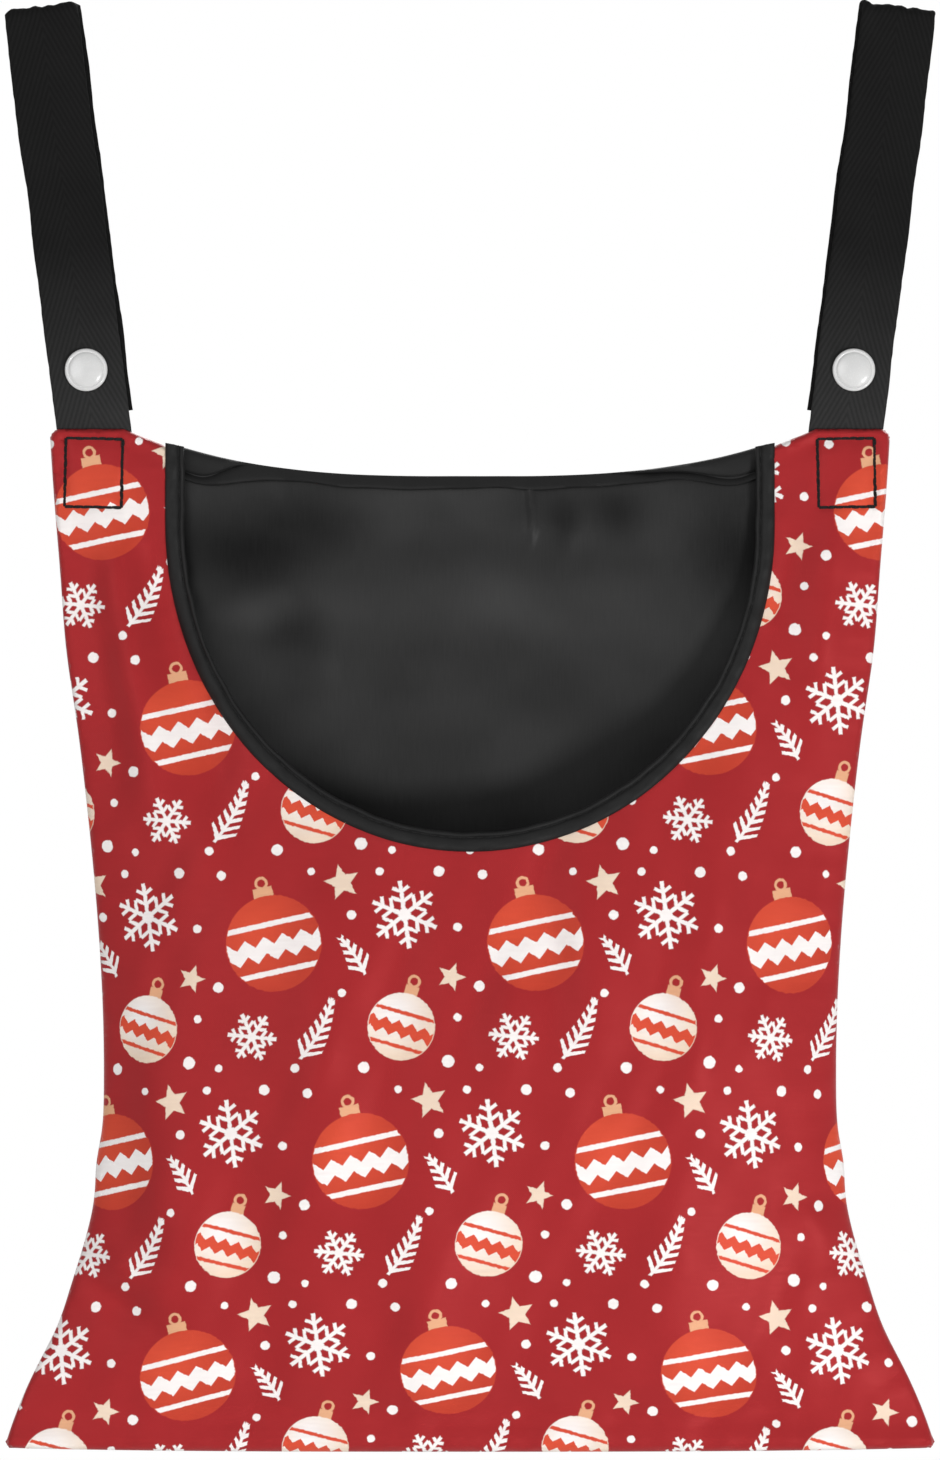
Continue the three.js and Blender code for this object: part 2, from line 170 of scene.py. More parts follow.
def ridge(distance, height, place, width):
    """A rounded ridge."""
    return height * bell(distance - place, width)


# The bag's shape


def side_half(z):
    """Half width of the body. It narrows from shoulders to waist, then flares late and eases at the hem."""
    s = np.clip((SHOULDER_Z - z) / WAIST_DROP, 0, 1)
    fall = SHOULDER_SLOPE * s * (1 - s) ** 2 + s * s * (3 - 2 * s)
    upper = SHOULDER_HALF - (SHOULDER_HALF - WAIST_HALF) * fall
    t = np.clip((WAIST_Z - z) / (WAIST_Z - HEM_Z), 0, 1)
    lower = WAIST_HALF + (HEM_HALF - WAIST_HALF) * t**3 * (3 - 2 * t)
    return np.where(z >= WAIST_Z, upper, lower) + sum(ridge(z, *bump) for bump in SIDE_BUMPS)


def swell(x, z, belly):
    """How far a wall stands out from its seams."""
    s = np.clip((SHOULDER_Z - z) / BODY_HEIGHT, 0, 1)
    power = math.log(0.5) / math.log(BELLY_DROP / BODY_HEIGHT)
    across = np.maximum(0, 1 - np.abs(x / side_half(z)) ** BELLY_POWER)
    return belly * np.sin(math.pi * s**power) * across


def seam_room(z):
    """Half of the room between the linings at their seams, wider round the strap tails."""
    below_tails = ease(TAIL_LENGTH + 2, 2 * TAIL_LENGTH, SHOULDER_Z - z)
    return ROOM_AT_TAILS - (ROOM_AT_TAILS - ROOM_BELOW) * below_tails


def top_edge(x):
    across = np.minimum(1, np.abs(x) / SAG_HALF)
    return SHOULDER_Z - BACK_SAG * (1 - across**3)


def strap_x(z):
    """Distance of a strap's middle from the bag's middle at a height."""
    return LOOP_HALF + z * math.tan(LEAN)


def run_along(points):
    """How far along a line each of its points is."""
    steps = np.linalg.norm(np.diff(points, axis=0), axis=1)
    return np.concatenate([[0], np.cumsum(steps)])


def evenly(points, step):
    """A line of points again, about step apart."""
    points = np.asarray(points, float)
    along = run_along(points)
    count = max(2, round(along[-1] / step) + 1)
    at = np.linspace(0, along[-1], count)
    return np.stack([np.interp(at, along, points[:, k]) for k in (0, 1)], 1)


def right_outline(inset, top_start):
    """The body's outline from its top edge at x = top_start round the right side to the middle of the hem."""
    top_x = np.linspace(top_start, SHOULDER_HALF - inset - SHOULDER_ROUND, 40)
    sewn = ease(MOUTH_HALF - 3, MOUTH_HALF + 3, top_x)
    top = np.stack([top_x, top_edge(top_x) - inset * sewn - TAPE_TUCK * (1 - sewn)], 1)
    corner_z = top[-1, 1] - SHOULDER_ROUND
    turn = np.linspace(math.pi / 2, 0, 7)[1:-1]
    corner_x = side_half(corner_z) - inset - SHOULDER_ROUND
    corner = np.stack([corner_x + SHOULDER_ROUND * np.cos(turn), corner_z + SHOULDER_ROUND * np.sin(turn)], 1)
    side_z = np.linspace(corner_z, HEM_Z + inset + HEM_ROUND, 160)
    side = np.stack([side_half(side_z) - inset, side_z], 1)
    hem_x = np.linspace(HEM_HALF - inset - HEM_ROUND, 0, 80)
    hem = np.stack([hem_x, HEM_Z + inset + HEM_LIFT * (hem_x / HEM_HALF) ** 3], 1)
    point = np.array([HEM_HALF - inset, hem[0, 1]])
    share = np.linspace(0, 1, 6)[1:-1, None]
    foot = side[-1] * (1 - share) ** 2 + 2 * point * share * (1 - share) + hem[0] * share**2
    return np.concatenate([top, corner, side, foot, hem])


def mirrored(line):
    return line[::-1] * np.array([-1, 1])


def both_sides(right):
    """A line down the right side, on along the left side to its mirrored start, in even steps."""
    return evenly(np.concatenate([right, mirrored(right)[1:]]), LINE_STEP)


def mouth_line(inset, step=1.6):
    """The mouth's outline from its left end to its right end, inset from the tape's outer edge."""
    round_z = SHOULDER_Z - MOUTH_SIDE
    depth = MOUTH_DEPTH - MOUTH_SIDE
    side_z = np.linspace(top_edge(MOUTH_HALF), round_z, 12)[:-1]
    left = np.stack([np.full_like(side_z, -MOUTH_HALF), side_z], 1)
    turn = np.linspace(math.pi, 0, 140)
    bowl = np.stack([MOUTH_HALF * np.cos(turn), round_z - depth * np.sin(turn)], 1)
    line = evenly(np.concatenate([left, bowl, mirrored(left)]), step)
    return line + inward(line) * inset


def inward(line):
    """Directions to the left of a line as it runs."""
    along = np.gradient(line, axis=0)
    along /= np.hypot(*along.T)[:, None]
    return np.stack([-along[:, 1], along[:, 0]], 1)


def nearest(x, z, line):
    """How far each point is from a line, and how far along the line its nearest place is."""
    distance = np.full(x.shape, np.inf)
    along = np.zeros(x.shape)
    start = 0
    for (ax, az), (bx, bz) in zip(line[:-1], line[1:]):
        length = math.hypot(bx - ax, bz - az)
        ux, uz = (bx - ax) / length, (bz - az) / length
        at = np.clip((x - ax) * ux + (z - az) * uz, 0, length)
        away = np.hypot(x - ax - at * ux, z - az - at * uz)
        nearer = away < distance
        distance = np.where(nearer, away, distance)
        along = np.where(nearer, start + at, along)
        start += length
    return distance, along


SEAM = both_sides(right_outline(0, MOUTH_HALF))
MOUTH = mouth_line(0)


def stitch_box(side):
    """The corners of a strap's box stitch, closed, leaning a little as sewn."""
    centre = np.array([side * strap_x(SHOULDER_Z), SHOULDER_Z - STITCH_CENTRE_DROP])
    half = np.array([STITCH_HALF_WIDTH, STITCH_HALF_HEIGHT])
    tilt = STITCH_TILT * side
    corners = np.array([[-1, 1], [1, 1], [1, -1], [-1, -1], [-1, 1]]) * half
    return centre + corners @ np.array([[1, tilt], [-tilt, 1]])


# Each fold runs from one place to another, with its width and height
FRONT_FOLDS = (
    ((-119, -160), (-100, -258), 7, 5.4),
    ((-109, -158), (-78, -258), 7.5, -4.6),
    ((-84, -262), (-62, -336), 13, 2.8),
    ((-108, -300), (-98, -404), 10, 2.6),
    ((-82, -334), (-68, -440), 12, -2.6),
    ((-50, -292), (-38, -384), 11, 2.8),
    ((-20, -284), (-28, -352), 11, -2.6),
    ((14, -306), (10, -354), 9, 2.6),
    ((34, -270), (40, -326), 8, 3.2),
    ((21, -276), (26, -320), 8, -2.4),
    ((82, -250), (76, -304), 9, 2.8),
    ((71, -306), (74, -346), 8, 2.6),
    ((58, -276), (60, -352), 9, -2.4),
    ((103, -215), (90, -318), 10, -3.0),
    ((118, -160), (112, -240), 7, 3.0),
    ((103, -150), (98, -224), 7, -2.4),
    ((-22, -372), (-14, -438), 11, 2.4),
    ((30, -366), (26, -442), 12, -2.6),
    ((66, -362), (60, -438), 11, 2.6),
    ((96, -340), (100, -442), 11, -2.6),
    ((-138, -392), (-100, -410), 6, 3.0),
    ((-134, -405), (-96, -426), 6, -2.8),
    ((136, -402), (106, -386), 6, 2.4),
)
BACK_FOLDS = (
    ((-60, -165), (-72, -380), 16, -1.6),
    ((-20, -160), (-26, -300), 14, 1.4),
    ((40, -165), (58, -390), 17, -1.5),
    ((96, -180), (82, -420), 15, 1.4),
    ((-104, -200), (-90, -430), 14, 1.3),
    ((8, -310), (4, -450), 18, 1.1),
)
# The back lining's folds stand into the bag
LINING_FOLDS = (
    ((-90, -186), (-56, -183), 11, 4.6),
    ((-62, -211), (-42, -208), 9, 3.0),
    ((-30, -172), (-40, -200), 15, 2.0),
    ((-64, -160), (-66, -174), 12, -2.4),
    ((-24, -157), (50, -156), 18, 3.4),
    ((34, -152), (29, -176), 5, 2.2),
    ((62, -160), (52, -190), 15, 1.8),
    ((-10, -206), (56, -208), 18, -2.2),
    ((-30, -234), (46, -240), 20, 2.6),
)
PLEAT = np.array([[19.2, -152.0], [20.4, -164.0], [18.4, -178.0]])  # a sharp crease in the back lining
FOLD_END = 0.35  # height of a fold's ends against its middle


def folded(x, z, folds):
    """How far a set of folds stands out, each strongest halfway along."""
    total = np.zeros_like(x)
    for (x0, z0), (x1, z1), width, height in folds:
        away, along = nearest(x, z, np.array([[x0, z0], [x1, z1]], float))
        middle = np.sin(math.pi * along / math.hypot(x1 - x0, z1 - z0))
        total += height * bell(away, width) * (FOLD_END + (1 - FOLD_END) * middle)
    return total


# Small relief of the walls. Each ridge is given by its height, how far in it stands and its width.
SEAM_ROLL = (0.5, 1.5, 0.9)
SEAM_VALLEY = (-0.5, 4.4, 1.7)
SEAM_ROLL_WHOLE = 30  # drops from the shoulders where the seam's roll is whole and where it has faded
SEAM_ROLL_GONE = 52
HEM_ROLL = (1.6, 3.5, 3.2)
HEM_VALLEY = (-2.0, 13, 7)
VALLEY_FROM = 4  # swell from which the valley is whole
MOUTH_ROLL = (0.25, 1.1, 0.8)
STITCH_DIP = (-0.5, 0, 0.9)
STITCH_PUFF = 0.25  # how far the cloth stands up inside a box stitch
SOFT_ROLLS = ((0.8, 46, 150), (0.36, 19, 34))  # height, width and length of each kind
CREASE_FADE = 16  # how far from its seams a wall has its full creases
SEAM_PUCKER = (0.5, 11, 11)  # height, length and reach
MOUTH_PUCKER = (0.3, 9, 8)
EDGE_FADE = 4


def pucker(along, away, height, length, reach, seed):
    """Small puckers beside a line, which die out about as far from it as reach."""
    return waver(along, height, length, seed) * np.exp(-away / reach)


def strap_gap(x, z):
    """How far the seam stays open round a strap, which comes out between the walls."""
    beside = ease(STRAP_HALF - 1, STRAP_HALF + 3, np.abs(np.abs(x) - strap_x(z)))
    return (STRAP_WALL + STRAP_CLEAR) * (1 - beside) * ease(SHOULDER_Z - 40, SHOULDER_Z - 8, z)


def shoulder_seam(away, z):
    """A pressed seam on the shoulders: it rolls up at its edge and lies a little lower beside it."""
    rolled = ridge(away, *SEAM_ROLL) + ridge(away, *SEAM_VALLEY)
    return rolled * ease(SHOULDER_Z - SEAM_ROLL_GONE, SHOULDER_Z - SEAM_ROLL_WHOLE, z)


def stitch_relief(x, z):
    """The cloth puffs up inside each box stitch and dips under its lines."""
    relief = np.zeros_like(x)
    for side in HANDS.values():
        box = stitch_box(side)
        centre = box[:4].mean(0)
        line_away, _ = nearest(x, z, box)
        across = np.abs(x - centre[0]) / STITCH_HALF_WIDTH
        up = np.abs(z - centre[1]) / STITCH_HALF_HEIGHT
        in_box = np.maximum(across, up) < 1
        relief += STITCH_PUFF * in_box * ease(0, EDGE_FADE, line_away) + ridge(line_away, *STITCH_DIP)
    return relief


def run_over(place, height):
    """Length of the way over rows of places and heights, column by column."""
    return np.hypot(np.diff(place, axis=0), np.diff(height, axis=0)).sum(0)


class Wall:
    """The front or the back of the bag: which way it faces, how far it swells and how it is creased."""

    def __init__(self, side, belly, folds, seed):
        self.side = side
        self.belly = belly
        self.folds = folds
        self.seed = seed

    def creases(self, x, z, away):
        """Folds and soft rolls, which die out towards the seams."""
        total = folded(x, z, self.folds)
        for k, shape in enumerate(SOFT_ROLLS):
            total += rolls(x, z, *shape, self.seed + k)
        return ease(0, CREASE_FADE, away) * total

    def rise(self, x, z):
        """How far the outer face stands from the seam plane."""
        away, along = nearest(x, z, SEAM)
        gap = strap_gap(x, z)
        full = seam_room(z) + STACK
        turn = np.sqrt(1 - (1 - np.clip(away / TURN, 0, 1)) ** 2)
        bulge = swell(x, z, self.belly)
        rise = gap + (full - gap) * turn + bulge
        rise += self.creases(x, z, away) + shoulder_seam(away, z) + stitch_relief(x, z)
        rise += ridge(z - HEM_Z, *HEM_ROLL) * turn
        rise += ridge(z - HEM_Z, *HEM_VALLEY) * np.minimum(1, bulge / VALLEY_FROM)
        rise += pucker(along, away, *SEAM_PUCKER, self.seed + 2) * ease(0, EDGE_FADE, away)
        if self.side < 0:
            mouth_away, mouth_along = nearest(x, z, MOUTH)
            rise += pucker(mouth_along, mouth_away, *MOUTH_PUCKER, self.seed + 3)
            rise += ridge(mouth_away, *MOUTH_ROLL)
        return rise

    def place(self, x, z, height=0):
        """Points on the outer face, or at a height above it."""
        return np.stack([x, SEAM_Y + self.side * (self.rise(x, z) + height), z], 1)

    def flat(self, x, z):
        """Where points of the wall lie on its cloth before it swells."""
        steps = np.linspace(0, 1, 60)[:, None]
        out = x * steps
        down = SHOULDER_Z + (z - SHOULDER_Z) * steps
        u = np.sign(x) * run_over(out, swell(out, z, self.belly))
        return np.stack([u, -run_over(down, swell(x, down, self.belly))], 1)


FRONT = Wall(-1, FRONT_BELLY, FRONT_FOLDS, 11)
BACK = Wall(1, BACK_BELLY, BACK_FOLDS, 31)


# Meshes

SHARP_FROM = math.radians(52)


def new_object(name, data):
    """A new object in the scene."""
    made = bpy.data.objects.new(name, data)
    bpy.context.scene.collection.objects.link(made)
    return made


def add_piece(name, points, faces, places, slot):
    """A smooth mesh from points, faces and the places of each face's corners, in millimetres."""
    mesh = bpy.data.meshes.new(name)
    mesh.from_pydata((np.asarray(points) * MM).tolist(), [], faces)
    layer = mesh.uv_layers.new(name="flat")
    layer.uv.foreach_set("vector", (np.concatenate(places) * MM).astype(np.float32).ravel())
    mesh.shade_smooth()
    mesh.set_sharp_from_angle(angle=SHARP_FROM)
    mesh.materials.append(MATERIALS[slot])
    piece = new_object(name, mesh)
    return piece


def volume(points, faces):
    """Six times the volume inside a closed skin, below 0 if its faces point in."""
    total = 0.0
    for face in faces:
        corners = points[list(face)]
        total += np.einsum("j,kj->", corners[0], np.cross(corners[1:-1], corners[2:]))
    return total


def swept(rings, loops=False, start=0):
    """Points, faces and corner places of a closed skin over rings of points. Its ends are filled unless it
    loops. Places run along it from start, and across it."""
    rings = np.asarray(rings, float)
    count, size = rings.shape[:2]
    run = start + run_along(rings.mean(1))
    around = run_along(np.concatenate([rings[0], rings[0][:1]]))
    faces = []
    places = []
    for k in range(count if loops else count - 1):
        here, there = k * size, (k + 1) % count * size
        next_run = run[k + 1] if k + 1 < count else run[k] + run[1] - run[0]
        for m in range(size):
            n = (m + 1) % size
            faces.append((here + m, here + n, there + n, there + m))
            low, high = around[m], around[m + 1]
            places.append([(run[k], low), (run[k], high), (next_run, high), (next_run, low)])
    if not loops:
        for ring, order in ((0, range(size - 1, -1, -1)), (count - 1, range(size))):
            faces.append(tuple(ring * size + m for m in order))
            places.append([(run[ring], around[m]) for m in order])
    points = rings.reshape(-1, 3)
    if volume(points - points[0], faces) < 0:
        faces = [face[::-1] for face in faces]
        places = [corners[::-1] for corners in places]
    return points, faces, places


def joined(parts):
    """Several skins as one."""
    points, faces, places = [], [], []
    for part_points, part_faces, part_places in parts:
        start = sum(len(p) for p in points)
        points.append(part_points)
        faces += [tuple(start + k for k in face) for face in part_faces]
        places += part_places
    return np.concatenate(points), faces, places


def inside(x, z, polygon):
    """Which points lie inside a closed outline."""
    odd = np.zeros(x.shape, bool)
    for (ax, az), (bx, bz) in zip(polygon, np.roll(polygon, -1, axis=0)):
        crosses = (az > z) != (bz > z)
        if az != bz:
            odd ^= crosses & (x < ax + (z - az) * (bx - ax) / (bz - az))
    return odd


def filled(polygon, details=()):
    """Triangles inside a closed outline, with rows of points along its edge and along the detail lines."""
    polygon = np.asarray(polygon, float)
    closed_line = np.concatenate([polygon, polygon[:1]])
    side = inward(closed_line)[:-1]
    probe = polygon[0] + side[0] * 0.1
    if not inside(probe[:1], probe[1:], polygon)[0]:
        side = -side
    rows = [polygon + side * row for row in EDGE_ROWS]
    for line, offsets in details:
        line = evenly(line, DETAIL_STEP)
        rows += [line + inward(line) * offset for offset in offsets]
    low, high = polygon.min(0), polygon.max(0)
    for k, z in enumerate(np.arange(low[1], high[1], GRID * math.sqrt(3) / 2)):
        x = np.arange(low[0] + GRID / 2 * (k % 2), high[0], GRID)
        rows.append(np.stack([x, np.full_like(x, z)], 1))
    loose = np.concatenate(rows)
    loose = loose[inside(loose[:, 0], loose[:, 1], polygon)]
    away, _ = nearest(loose[:, 0], loose[:, 1], closed_line)
    loose = loose[away > EDGE_ROWS[0] * 0.8]
    count = len(polygon)
    edges = [(k, (k + 1) % count) for k in range(count)]
    every = [Vector(point) for point in np.concatenate([polygon, loose])]
    found, _, faces, *_ = delaunay_2d_cdt(every, edges, [], 1, MERGE_REACH)
    return np.array([tuple(point) for point in found]), [list(face) for face in faces]


def cloth_piece(name, wall, polygon, height, facing, slot, details=(), extra=None):
    """A layer of cloth on a wall, at a height from its outer face. It thickens away from its shown side."""
    flat, faces = filled(polygon, details)
    x, z = flat.T
    lift = height if extra is None else height + extra(x, z)
    if facing > 0:
        faces = [face[::-1] for face in faces]
    on_cloth = wall.flat(x, z)
    piece = add_piece(name, wall.place(x, z, lift), faces, [on_cloth[face] for face in faces], slot)
    solid = piece.modifiers.new("thickness", "SOLIDIFY")
    solid.thickness = CLOTH * MM
    solid.offset = -1
    return piece


# Materials


def arithmetic(operation, swapped=False):
    """A method of a number that adds a Math node."""

    def method(self, *other):
        values = (*other, self) if swapped else (self, *other)
        return self.graph.math(operation, *values)

    return method


class Num:
    """A number that a material's nodes work out. Arithmetic on it adds Math nodes."""

    def __init__(self, graph, socket):
        self.graph = graph
        self.socket = socket

    __add__ = __radd__ = arithmetic("ADD")
    __sub__ = arithmetic("SUBTRACT")
    __rsub__ = arithmetic("SUBTRACT", swapped=True)
    __mul__ = __rmul__ = arithmetic("MULTIPLY")
    __truediv__ = arithmetic("DIVIDE")
    __abs__ = arithmetic("ABSOLUTE")


class Graph:
    """A new material and short calls that add nodes to it."""

    def __init__(self, name, settings):
        self.material = bpy.data.materials.new(name)
        self.material.use_nodes = True
        self.tree = self.material.node_tree
        self.shader = self.tree.nodes["Principled BSDF"]
        for socket, value in settings.items():
            self.shader.inputs[socket].default_value = value

    def feed(self, socket, value):
        if isinstance(value, Num):
            value = value.socket
        if isinstance(value, bpy.types.NodeSocket):
            self.tree.links.new(value, socket)
        elif value is not None:
            socket.default_value = value

    def node(self, kind, *values, **settings):
        node = self.tree.nodes.new("ShaderNode" + kind)
        for key, value in settings.items():
            setattr(node, key, value)
        for socket, value in zip(node.inputs, values):
            self.feed(socket, value)
        return node

    def number(self, kind, *values, output=0, **settings):
        return Num(self, self.node(kind, *values, **settings).outputs[output])

    def math(self, operation, *values):
        return self.number("Math", *values, operation=operation)

    def least(self, first, *others):
        """The least of several numbers, which joins shapes given by the distance to their edges."""
        for other in others:
            first = self.math("MINIMUM", first, other)
        return first

    def most(self, a, b):
        return self.math("MAXIMUM", a, b)

    def vector(self, x, y, z=0):
        return self.node("CombineXYZ", x, y, z).outputs[0]

    def parts(self, vector):
        """A vector's x and y."""
        outputs = self.node("SeparateXYZ", vector).outputs
        return Num(self, outputs[0]), Num(self, outputs[1])

    def size(self, x, y):
        return self.number("VectorMath", self.vector(x, y), operation="LENGTH", output="Value")

    def cloth_place(self):
        """Where a point lies on its flat cloth or along its tape, in millimetres."""
        x, y = self.parts(self.node("UVMap", uv_map="flat").outputs[0])
        return x * 1000, y * 1000

    def object_place(self):
        """A point's own place, in millimetres."""
        place = self.node("TexCoord").outputs["Object"]
        return self.node("VectorMath", place, (1000, 1000, 1000), operation="MULTIPLY").outputs[0]

    def noise(self, vector, length, detail=2.0):
        """Noise from 0 to 1 with features about as long as length."""
        node = self.node("TexNoise")
        self.feed(node.inputs["Vector"], vector)
        node.inputs["Scale"].default_value = 1 / length
        node.inputs["Detail"].default_value = detail
        return Num(self, node.outputs[0])

    def within(self, distance, soft=0.22):
        """1 inside a shape and 0 outside it, from the distance to its edge."""
        return self.number("MapRange", distance, soft, -soft, 0.0, 1.0, interpolation_type="SMOOTHSTEP")

    def span(self, value, low, high, to_low, to_high):
        return self.number("MapRange", value, low, high, to_low, to_high)

    def blend(self, share, a, b):
        """Colour a where share is 0 and colour b where it is 1."""
        node = self.tree.nodes.new("ShaderNodeMix")
        node.data_type = "RGBA"
        for index, value in ((0, share), (6, a), (7, b)):
            self.feed(node.inputs[index], value)
        return node.outputs[2]

    def bump(self, height, depth, strength=1.0, below=None):
        """A bumped normal from a height of 0 to 1, depth in millimetres."""
        node = self.node("Bump")
        node.inputs["Strength"].default_value = strength
        node.inputs["Distance"].default_value = depth * MM
        self.feed(node.inputs["Height"], height)
        self.feed(node.inputs["Normal"], below)
        return node.outputs[0]

    def finish(self, colour, roughness, normal):
        for name, value in (("Base Color", colour), ("Roughness", roughness), ("Normal", normal)):
            self.feed(self.shader.inputs[name], value)
        return self.material


def tint(code):
    """A colour from its six hexadecimal digits, as a shader takes it."""
    parts = [int(code[k : k + 2], 16) / 255 for k in (0, 2, 4)]
    return tuple(c / 12.92 if c <= 0.04045 else ((c + 0.055) / 1.055) ** 2.4 for c in parts) + (1,)


GLOSS = "Specular IOR Level"
RED = tint("A62D30")
DEEP_RED = tint("99272A")
DARK_THREAD = tint("7A1C20")
WHITE = tint("FAF7F5")
CREAM = tint("F0DCC6")
CORAL = tint("D8523A")
DARK_CORAL = tint("BF4231")
PEACH = tint("E5AF88")
RED_GLOSS = (1.0, 0.2, 0.2, 1)  # light that has passed through dyed fibres
CLOTH_THREAD = 0.62
TAPE_THREAD = 0.8

# The printed repeat, in millimetres. Each shape has its place and turn on the tile, then its sizes.
TILE_WIDTH = 84
TILE_HEIGHT = 70
ROW_SLIDE = 28  # how far each row of tiles slides past the one below
SNOWFLAKES = (((21, 17, 8), 11, 0.66), ((-28, -22, 24), 8, 0.58))
SPRIGS = (((-6, -20, -28), 22), ((5, 4, 34), 14))
STARS = (((1, 27.5, 14), 5.8, 2.7), ((36, -3, -20), 4.6, 2.1))
DOTS = (
    (-39, -6, 1.7), (-14, -32, 1.4), (-38, 30, 1.5), (-9, 31, 1.2), (8, -32, 1.8), (-39, -32, 1.2),
    (38, -16, 1.3), (35, -30, 2.0), (38, 13, 1.4), (32, 31, 1.7), (13, 31, 1.3), (4, 17, 1.5), (1, -8, 1.3),
)


class Print(Graph):
    """A cloth material whose colour is built up from printed shapes on a repeating tile."""

    def tile(self, u, v):
        """A vector that runs over one tile. The tiles lie in rows, each slid along past the one below."""
        row = self.math("FLOOR", v / TILE_HEIGHT)
        y = v - (row + 0.5) * TILE_HEIGHT
        slid = u + row * ROW_SLIDE
        x = slid - (self.math("FLOOR", slid / TILE_WIDTH) + 0.5) * TILE_WIDTH
        return self.vector(x, y)

    def at(self, tile, x, y, turn=0.0):
        """Coordinates about a place on the tile, turned by so many degrees."""
        node = self.node("Mapping", tile, vector_type="TEXTURE")
        node.inputs["Location"].default_value = (x, y, 0)
        node.inputs["Rotation"].default_value = (0, 0, math.radians(turn))
        return self.parts(node.outputs[0])

    def dot(self, tile, x, y, radius):
        return self.number("VectorMath", tile, (x, y, 0), operation="DISTANCE", output="Value") - radius

    def spokes(self, x, y, count):
        """Coordinates along and beside the nearest of so many spokes, the first of which points up."""
        angle = self.math("PINGPONG", abs(self.math("ARCTAN2", x, y)), math.pi / count)
        reach = self.size(x, y)
        return reach * self.math("COSINE", angle), reach * self.math("SINE", angle)

    def block(self, x, y, half_x, half_y):
        return self.most(abs(x) - half_x, abs(y) - half_y)

    def star(self, x, y, radius, inner):
        along, beside = self.spokes(x, y, 5)
        valley = (inner * math.cos(math.pi / 5), inner * math.sin(math.pi / 5))
        length = math.hypot(radius - valley[0], valley[1])
        return (along - radius) * (valley[1] / length) + beside * ((radius - valley[0]) / length)

    def snowflake(self, x, y, radius, stroke):
        along, beside = self.spokes(x, y, 6)
        edge = self.most(beside - stroke, along - radius)
        for start, length in ((0.38, 0.36), (0.68, 0.28)):
            past = along - start * radius
            half = length * radius / 2
            run = past * 0.5 + beside * 0.866
            off = past * 0.866 - beside * 0.5
            edge = self.least(edge, self.block(off, run - half, stroke * 0.85, half))
        return self.least(edge, along - radius * 0.17)

    def sprig(self, x, y, length):
        side = abs(x + y * y * 0.011)
        slant = y - side * 0.85
        reach = self.span(y, -length / 2, length / 2, 5.4, 1.0)
        row = self.math("PINGPONG", slant + (length / 2 - 1.6), 1.55)
        leaf = self.most(row - (0.95 - side * 0.09), side - reach)
        leaf = self.most(leaf, abs(slant) - length / 2)
        stem = self.block(side, y, 0.5, length / 2)
        return self.least(leaf, stem)

    def bauble(self, paint, x, y, radius, ball_colour, shade_colour, band_colour):
        """A round bauble with a banded middle, a cap and a ring, painted over what is there."""
        ball = self.size(x, y) - radius
        glow = self.size(x + radius * 0.32, y - radius * 0.34)
        shaded = self.blend(self.span(glow, radius * 0.2, radius * 1.3, 0.0, 1.0), ball_colour, shade_colour)
        cap = self.block(x, y - (radius + 1.1), radius * 0.2, 1.7)
        ring = abs(self.size(x, y - (radius + 4.2)) - 1.7) - 0.45
        zigzag = self.math("PINGPONG", x + 40, radius * 0.2)
        band = abs(y + zigzag * 0.9) - radius * 0.17
        lines = abs(abs(y + radius * 0.09) - radius * 0.5) - radius * 0.055
        marks = self.most(self.least(band, lines), ball + radius * 0.02)
        paint = self.blend(self.within(self.least(cap, ring)), paint, PEACH)
        paint = self.blend(self.within(ball), paint, shaded)
        return self.blend(self.within(marks), paint, band_colour)


def woven(graph, u, v, pitch):
    """Height of a plain weave: threads over and under each other."""
    warp = graph.math("SINE", u * (2 * math.pi / pitch))
    weft = graph.math("SINE", v * (2 * math.pi / pitch))
    return warp * weft * 0.5 + 0.5


def striped(graph, across, pitch):
    """Height of rounded stripes."""
    return graph.math("SINE", across * (2 * math.pi / pitch)) * 0.5 + 0.5


def red_cloth():
    g = Print("red_cloth", {GLOSS: 0.3, "Specular Tint": RED_GLOSS})
    u, v = g.cloth_place()
    cloth = g.vector(u, v)
    frayed = (g.noise(cloth, 1.3) - 0.5) * 0.7
    tile = g.tile(u + frayed, v + frayed)
    slub = g.noise(g.vector(u * 0.12, v), 0.9)
    paint = g.blend(g.noise(cloth, 34, 3.0), DEEP_RED, RED)
    paint = g.bauble(paint, *g.at(tile, -21, 8, 12), 15.5, CORAL, DARK_CORAL, WHITE)
    paint = g.bauble(paint, *g.at(tile, 20, -19, -16), 10.8, WHITE, CREAM, CORAL)
    flakes = [g.snowflake(*g.at(tile, *place), *sizes) for place, *sizes in SNOWFLAKES]
    sprigs = [g.sprig(*g.at(tile, *place), length) for place, length in SPRIGS]
    paint = g.blend(g.within(g.least(*flakes, *sprigs)), paint, WHITE)
    stars = [g.star(*g.at(tile, *place), *sizes) for place, *sizes in STARS]
    paint = g.blend(g.within(g.least(*stars)), paint, CREAM)
    dots = [g.dot(tile, *spot) for spot in DOTS]
    paint = g.blend(g.within(g.least(*dots)), paint, WHITE)
    weave = woven(g, u, v, CLOTH_THREAD)
    worn = (weave - 0.5) * 0.12 + (slub - 0.5) * 0.16 + 0.06
    colour = g.blend(worn, paint, DARK_THREAD)
    normal = g.bump(g.noise(cloth, 15, 3.0), 0.8, 0.16)
    normal = g.bump(weave * 0.6 + slub * 0.4, 0.06, 0.5, normal)
    return g.finish(colour, g.span(slub, 0.3, 0.7, 0.42, 0.5), normal)


